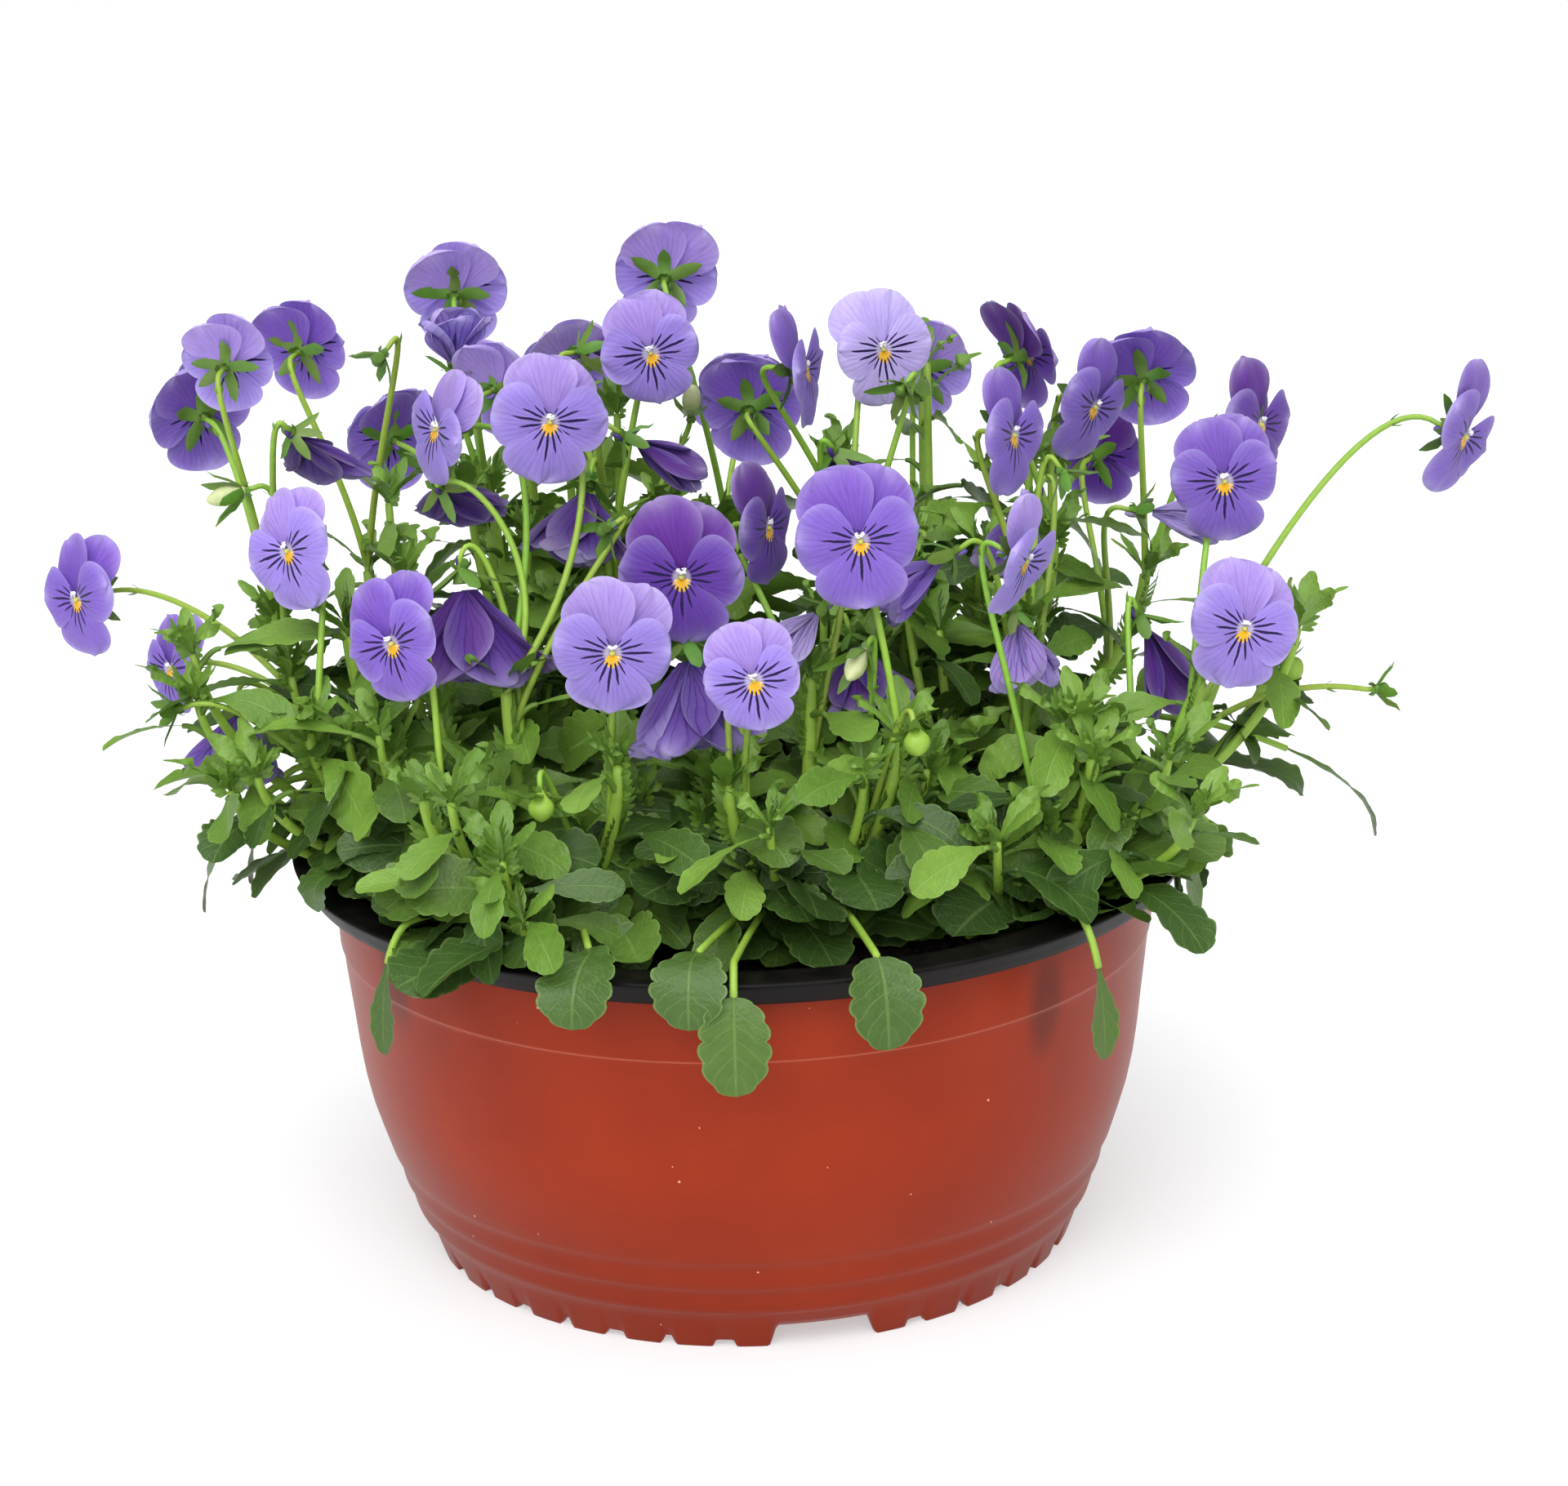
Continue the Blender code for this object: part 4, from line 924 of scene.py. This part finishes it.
leaf_green, tree = finish_named("viola leaf, waxy")
tone = add(tree, "Attribute", attribute_name="tone")
spread = add(tree, "SeparateXYZ", {"Vector": add(tree, "UVMap", uv_map="spread")})
place = add(tree, "TexCoord").outputs["Object"]
middle = add(tree, "Math", {0: spread.outputs["X"], 1: 0.5}, operation="SUBTRACT")
aside = add(tree, "Math", {0: middle}, operation="ABSOLUTE")
# The midrib and six pairs of side veins that slant towards the tip, paler than the blade.
midrib = add(tree, "MapRange", {"Value": aside, "From Min": 0.035, "From Max": 0.012})
slant = add(tree, "Math", {0: aside, 1: -0.55, 2: spread.outputs["Y"]}, operation="MULTIPLY_ADD")
wander = add(tree, "TexNoise", {"Vector": place, "Scale": 160.0, "Detail": 2.0})
bent = add(tree, "Math", {0: wander, 1: 0.07, 2: slant}, operation="MULTIPLY_ADD")
turns = add(tree, "Math", {0: bent, 1: 40.0}, operation="MULTIPLY")
wave = add(tree, "Math", {0: turns}, operation="SINE")
side_vein = add(tree, "MapRange", {"Value": wave, "From Min": 0.88, "From Max": 1.0, "To Max": 0.55})
veins = add(tree, "Math", {0: midrib, 1: side_vein}, operation="MAXIMUM")
edge = add(tree, "SeparateColor", {"Color": add(tree, "Attribute", attribute_name="marks")})
margin = add(
    tree, "MapRange", {"Value": edge.outputs["Blue"], "From Min": 0.8, "From Max": 1.0, "To Max": 0.3},
)
# The blade is mottled at about 3 mm, and finely netted at a millimetre, as coarse as it needs to show.
mottle = add(tree, "TexNoise", {"Vector": place, "Scale": 300.0, "Detail": 4.0})
light = add(tree, "MapRange", {"Value": mottle, "To Min": 0.78, "To Max": 1.2})
blade = add(tree, "Mix", {"Factor": 1.0, 6: tone, 7: light}, **TINT)
drawn = add(tree, "Math", {0: veins, 1: 0.18}, operation="MULTIPLY")
lines = add(tree, "Math", {0: drawn, 1: margin}, operation="MAXIMUM")
pale_vein = add(tree, "Mix", {"Factor": lines, 6: blade, 7: linear("#9DBB68")}, **BLEND)
net = add(tree, "TexVoronoi", {"Vector": place, "Scale": 900.0})
groove = add(tree, "Math", {0: veins, 1: -1.2, 2: net}, operation="MULTIPLY_ADD")
relief = add(tree, "Bump", {"Height": groove, "Strength": 0.35, "Distance": 0.0004})
wax = add(tree, "BsdfPrincipled", {"Base Color": pale_vein, "Roughness": 0.4, "Normal": relief, "IOR": 1.42})
through = add(tree, "BsdfTranslucent", {"Color": pale_vein})
shown(tree, add(tree, "MixShader", {0: 0.15, 1: wax, 2: through}))

LEAF_TONES = [linear(code)[:3] for code in ("#506F2A", "#476529", "#58772F", "#3F5D26", "#5F7F34", "#375122")]
YOUNG_TONES = [linear(code)[:3] for code in ("#709538", "#7BA040", "#648932")]


def meets_bloom(points, gap):
    """True if any of the points is within the gap of a flower."""
    return any(tree.find_nearest(point, gap * MM)[0] is not None for point in points for tree in bloom_trees)


def leaf_on_stalk(leaves, stems, root, out, stalk, blade, width, rise, droop, kind, tone):
    """A leaf with its stalk: the stalk leaves the root, and the blade bends over beyond it."""
    wrist = root + out * stalk * (1 - 0.4 * rise) + UP * stalk * rise
    swing = Vector((-out.y, out.x, 0)) * chance.uniform(-0.6, 0.6)
    along = (out + swing).normalized()
    middle = wrist + along * blade * 0.5 + UP * blade * (0.3 * rise - 0.12 * droop)
    tip = wrist + along * blade * (1 - 0.25 * droop) + UP * blade * (0.3 * rise - 0.75 * droop)
    if meets_bloom((wrist, middle, tip), 7):
        return
    leaving = root + out * stalk * 0.3 + UP * stalk * rise * 0.6
    stalk_line = bezier(root, leaving, wrist - along * stalk * 0.25, wrist, 6)
    for point in stalk_line:
        point.z = max(point.z, float(lowest(point.x, point.y)) + 1.2 * MM)
    add_rod(stems, stalk_line, [thick * MM for thick in (1.2, 1.1, 1.0, 0.95, 0.9, 0.85, 0.8)], 6, tone)
    outside = (wrist * FLAT).normalized()
    wobble = Vector((chance.uniform(-0.5, 0.5), chance.uniform(-0.5, 0.5), 0))
    facing = UP * 0.8 + outside * chance.uniform(0.3, 1.1) + wobble
    line = bezier(stalk_line[-1], wrist.lerp(middle, 0.6), middle.lerp(tip, 0.4), tip, 8)
    teeth = chance.choice((5, 6)) if kind == "round" else chance.choice((4, 5, 6))
    add_leaf(leaves, line, width, facing, tone, teeth, kind, chance.uniform(0.0, 0.25), chance.uniform(0, 9))


def add_stipules(piece, root, ahead, out, size):
    """A pair of leafy stipules at a leaf's joint, each cut into a few narrow fingers like a comb."""
    side = ahead.cross(out).normalized()
    for hand in (-1, 1):
        for finger in range(6):
            share = finger / 5
            way = (ahead * (0.1 + 1.2 * share) + side * hand * (1.2 - 0.7 * share) + out * 0.3).normalized()
            long = size * (0.45 + 0.55 * share)
            base = root + ahead * size * 0.6 * share + side * hand * 1.2 * MM
            curl = base + way * long * 0.55 + out * size * 0.1
            ends = [base, curl, base + way * long * 0.85, base + way * long]
            widths = [1.2 * MM, 1.9 * MM, 1.1 * MM, 0.2 * MM]
            add_ribbon(piece, ends, widths, out + side * 0.2, YOUNG_TONES[finger % 3], 0, fold=0.1)


def add_rosette(leaves, combs, tip, ahead):
    """The growing tip of a shoot: small bright leaves, still narrow, standing up round it."""
    for young in range(6):
        turn = 2.4 * young + tip.x * 50
        out = Vector((math.cos(turn), math.sin(turn), 0))
        long = chance.uniform(9, 20) * MM
        bend = tip + ahead * long * 0.55 + out * long * 0.35
        end = tip + ahead * long * 0.75 + out * long * chance.uniform(0.6, 1.0)
        if not meets_bloom((end,), 3):
            line = bezier(tip, tip.lerp(bend, 0.6), bend, end, 8)
            tone = chance.choice(YOUNG_TONES)
            add_leaf(leaves, line, long * 0.36, out + UP * 0.5, tone, 4, "long", 0.2, young)
    add_stipules(combs, tip, ahead, Vector((math.cos(turn), math.sin(turn), 0)), 8 * MM)


def side_tip(x, y, sprawls):
    """Where a side shoot may end: round its crown, low at the front and tall at the back, and clear of the
    flowers. One that sprawls leans out over the rim on its plant's own side."""
    for _ in range(12):
        if sprawls:
            turn = chance.uniform(-0.8, 0.7) if x > 0 else math.pi + chance.uniform(-0.5, 0.8)
            long = chance.uniform(62, 90)
            high = chance.uniform(150, 190)
            tip = Vector((x + long * math.cos(turn), y + long * math.sin(turn), high)) * MM
            if not meets_bloom((tip,), 12):
                return tip
            continue
        turn = chance.uniform(0, 6.28)
        long = chance.uniform(14, 52)
        tip = Vector((x + long * math.cos(turn), y + long * math.sin(turn), 0))
        most = 158 if abs(tip.x) > 90 else 128
        if tip.length > most:
            tip *= most / tip.length
        tallest = float(np.interp(tip.y, (-100, -40, 0, 60), (165, 178, 205, 238)))
        if abs(tip.x) > 60 and tip.y > -20:
            tallest += 12
        tip.z = tallest - chance.uniform(0, 40)
        if not meets_bloom((tip * MM,), 14):
            return tip * MM
    return None


for plant_number, (name, (x, y), tips) in enumerate(PLANTS):
    chance.seed(900 + plant_number)
    stems, leaves, combs = new_piece(), new_piece(), new_piece()
    crown = Vector((x * MM, y * MM, SOIL_TOP))
    shoots = [(shoot_path(crown + UP * 4 * MM, Vector(tip) * MM, 24), 2.8, 1.8) for tip in tips]
    # Shorter side shoots fill the plant out all round its crown, and some sprawl from a plant at the side.
    for side_shoot in range(SIDE_SHOOTS + (SPRAWLING_SHOOTS if abs(x) > 70 else 0)):
        tip = side_tip(x, y, side_shoot >= SIDE_SHOOTS)
        if tip is not None:
            shoots.append((shoot_path(crown + UP * 2 * MM, tip, 20), 2.1, 1.2))
    collar = [crown - UP * 3 * MM, crown + UP * 3 * MM, crown + UP * 7 * MM]
    add_rod(stems, collar, [7 * MM, 6 * MM, 3 * MM], 12, STEM_GREEN)
    for shoot_number, (path, thick, thin) in enumerate(shoots):
        count = len(path)
        radii = [(thick + (thin - thick) * i / (count - 1)) * MM for i in range(count)]
        add_rod(stems, path, radii, 12, STEM_GREEN, ridge=0.07)
        joint = 3
        turn = chance.uniform(0, 6.28)
        while joint < count - 1:
            share = joint / (count - 1)
            ahead = (path[joint + 1] - path[joint]).normalized()
            turn += GOLDEN_TURN
            out = Vector((math.cos(turn), math.sin(turn), 0))
            tone = chance.choice(YOUNG_TONES if share > 0.75 or chance.random() < 0.03 else LEAF_TONES)
            kind = "round" if chance.random() > share else "long"
            long, broad = ((23, 35), (0.7, 0.86)) if kind == "round" else ((27, 42), (0.36, 0.52))
            blade = chance.uniform(*long) * (1 - 0.2 * share) * MM
            width = blade * chance.uniform(*broad)
            stalk = chance.uniform(10, 24) * (1 - 0.6 * share) * MM
            rise, droop = chance.uniform(0.2, 0.7), chance.uniform(0.1, 0.8)
            leaf_on_stalk(leaves, stems, path[joint], out, stalk, blade, width, rise, droop, kind, tone)
            if share > 0.2 and shoot_number < len(tips) + 3:
                add_stipules(combs, path[joint], ahead, out, chance.uniform(7, 10) * MM)
            joint += 3 if count > 22 else 2
        add_rosette(leaves, combs, path[-1], (path[-1] - path[-2]).normalized())
    # Older leaves on long stalks spread from the crown just over the soil.
    for low_leaf in range(LOW_LEAVES):
        turn = 2.4 * low_leaf + plant_number
        out = Vector((math.cos(turn), math.sin(turn), 0))
        blade = chance.uniform(25, 34) * MM
        root = crown + UP * 4 * MM
        stalk, rise, droop = chance.uniform(20, 46) * MM, chance.uniform(0.2, 0.75), chance.uniform(0, 0.4)
        tone = chance.choice(LEAF_TONES)
        leaf_on_stalk(leaves, stems, root, out, stalk, blade, blade * 0.76, rise, droop, "round", tone)
    for owner, tip, width, crest_height in RIM_LEAVES:
        if owner != name:
            continue
        tip = Vector(tip) * MM
        low_joints = [path[len(path) // 6] for path, _, _ in shoots[: len(tips)]]
        root = min(low_joints, key=lambda point: (point - tip).length)
        away = (tip * FLAT).normalized()
        high = crest_height * MM
        crest = away * (RIM_RADIUS - 4 * MM)
        crest.z = high
        near = Vector((root.x, root.y, high)).lerp(crest, 0.2)
        rise = bezier(root, near, crest.lerp(near, 0.35), crest, 12)
        hang = tip.lerp(Vector((tip.x, tip.y, high)), 0.6)
        fall = bezier(crest, crest + away * 9 * MM, hang, tip, 12)
        route = rise + fall[1:]
        # The blade takes the last stretch of the route, as long as a leaf of its width is.
        blade_from = len(route) - 1
        run = 0.0
        kind = "round" if width > 18 else "long"
        while blade_from > 1 and run < width * (1.25 if kind == "round" else 2.4) * MM:
            run += (route[blade_from] - route[blade_from - 1]).length
            blade_from -= 1
        stalk = route[: blade_from + 1]
        add_rod(stems, stalk, [1.1 * MM] * len(stalk), 6, STEM_GREEN)
        tone, seed = chance.choice(LEAF_TONES[:3]), chance.uniform(0, 9)
        add_leaf(leaves, route[blade_from:], width * MM, away + UP * 1.2, tone, 5, kind, 0.1, seed)
    finish_piece(f"stems_{name}", stems, [fresh_green], [name])
    finish_piece(f"leaves_{name}", leaves, [leaf_green], [name])
    finish_piece(f"stipules_{name}", combs, [fresh_green], [name])

# The flower stalks: each leaves a joint of a main shoot near by, if it can about 60 mm below its
# flower, and carries two tiny scales three quarters of the way up.
stalks = new_piece()
joints = []
for name, (x, y), tips in PLANTS:
    for tip in tips:
        path = shoot_path(Vector((x * MM, y * MM, SOIL_TOP + 4 * MM)), Vector(tip) * MM, 6)
        joints += path[2:]

# Buds, seed pods and calyxes that have dropped their petals: place in millimetres, degrees round from
# the front, degrees up, and what each is.
HEADS = (
    (-105, 20, 263, -60, -45, "spent"), (-147, 0, 230, -70, -10, "bud"), (-12, 30, 247, 10, 60, "bud"),
    (49, 20, 250, -40, -30, "spent"), (97, -20, 231, 60, -50, "spent"), (33, -70, 194, -30, -30, "bud"),
    (-39, -40, 225, -60, -20, "spent"), (-55, -95, 162, 5, -70, "pod"), (48, -90, 176, 10, -50, "pod"),
    (194, 0, 161, 90, 0, "spent"), (-165, -40, 176, -80, -10, "spent"), (163, -10, 171, 60, -40, "pod"),
)
CREAM = linear("#D9E0A8")[:3]
HEAD_SIZE = 30 * MM
for number, (x, y, z, azimuth, pitch, kind) in enumerate(HEADS):
    chance.seed(700 + number)
    turn = bloom_turn(azimuth, pitch, 0)
    throat = Vector((x, y, z)) * MM
    h = HEAD_SIZE

    def at(x, y, z):
        return throat + turn @ Vector((x * h, y * h, z * h))

    facing = turn @ Vector((0, 1, 0))
    add_calyx(stalks, at, h, facing, 0, {"bud": 0.24, "pod": -0.02, "spent": 0.12}[kind])
    bodies = {"bud": (0.34, 0.1, CREAM), "pod": (0.22, 0.13, STEM_GREEN), "spent": (0.1, 0.07, SEPAL_GREEN)}
    long, wide, skin_tone = bodies[kind]
    lengths = [-0.17, -0.12] + [long * share - 0.1 for share in (0.1, 0.3, 0.5, 0.7, 0.85, 0.95, 1.0)]
    girths = [0.03, 0.06] + [wide * share for share in (0.75, 0.97, 1.0, 0.85, 0.6, 0.35, 0.1)]
    core = [at(0, y, 0) for y in lengths]
    add_rod(stalks, core, [girth * h for girth in girths], 12, skin_tone, ridge=0.05)
    calyx_ends.append((throat - facing * SPUR_SHARE * h, facing))

for number, (end, facing) in enumerate(calyx_ends):
    chance.seed(300 + number)
    start = min(
        joints, key=lambda joint: ((end - joint) * FLAT).length + 0.5 * abs(end.z - joint.z - 60 * MM),
    )
    path = clear_stalk(start, end, facing)
    count = len(path)
    tone = [part * chance.uniform(0.9, 1.1) for part in STEM_GREEN]
    add_rod(stalks, path, [(1.1 - 0.3 * i / (count - 1)) * MM for i in range(count)], 8, tone)
    scale_at = int(count * 0.72)
    ahead = (path[scale_at + 1] - path[scale_at]).normalized()
    side = ahead.orthogonal().normalized()
    for hand in (-1, 1):
        root = path[scale_at] + side * hand * 0.8 * MM
        bend = root + (ahead * 1.6 + side * hand * 0.8) * MM
        ends = [root, bend, root + (ahead * 3.2 + side * hand * 1.2) * MM]
        add_ribbon(stalks, ends, [1.0 * MM, 0.9 * MM, 0.1 * MM], side, YOUNG_TONES[0], 0)
finish_piece("flower_stalks", stalks, [fresh_green], [name for name, _, _ in PLANTS])
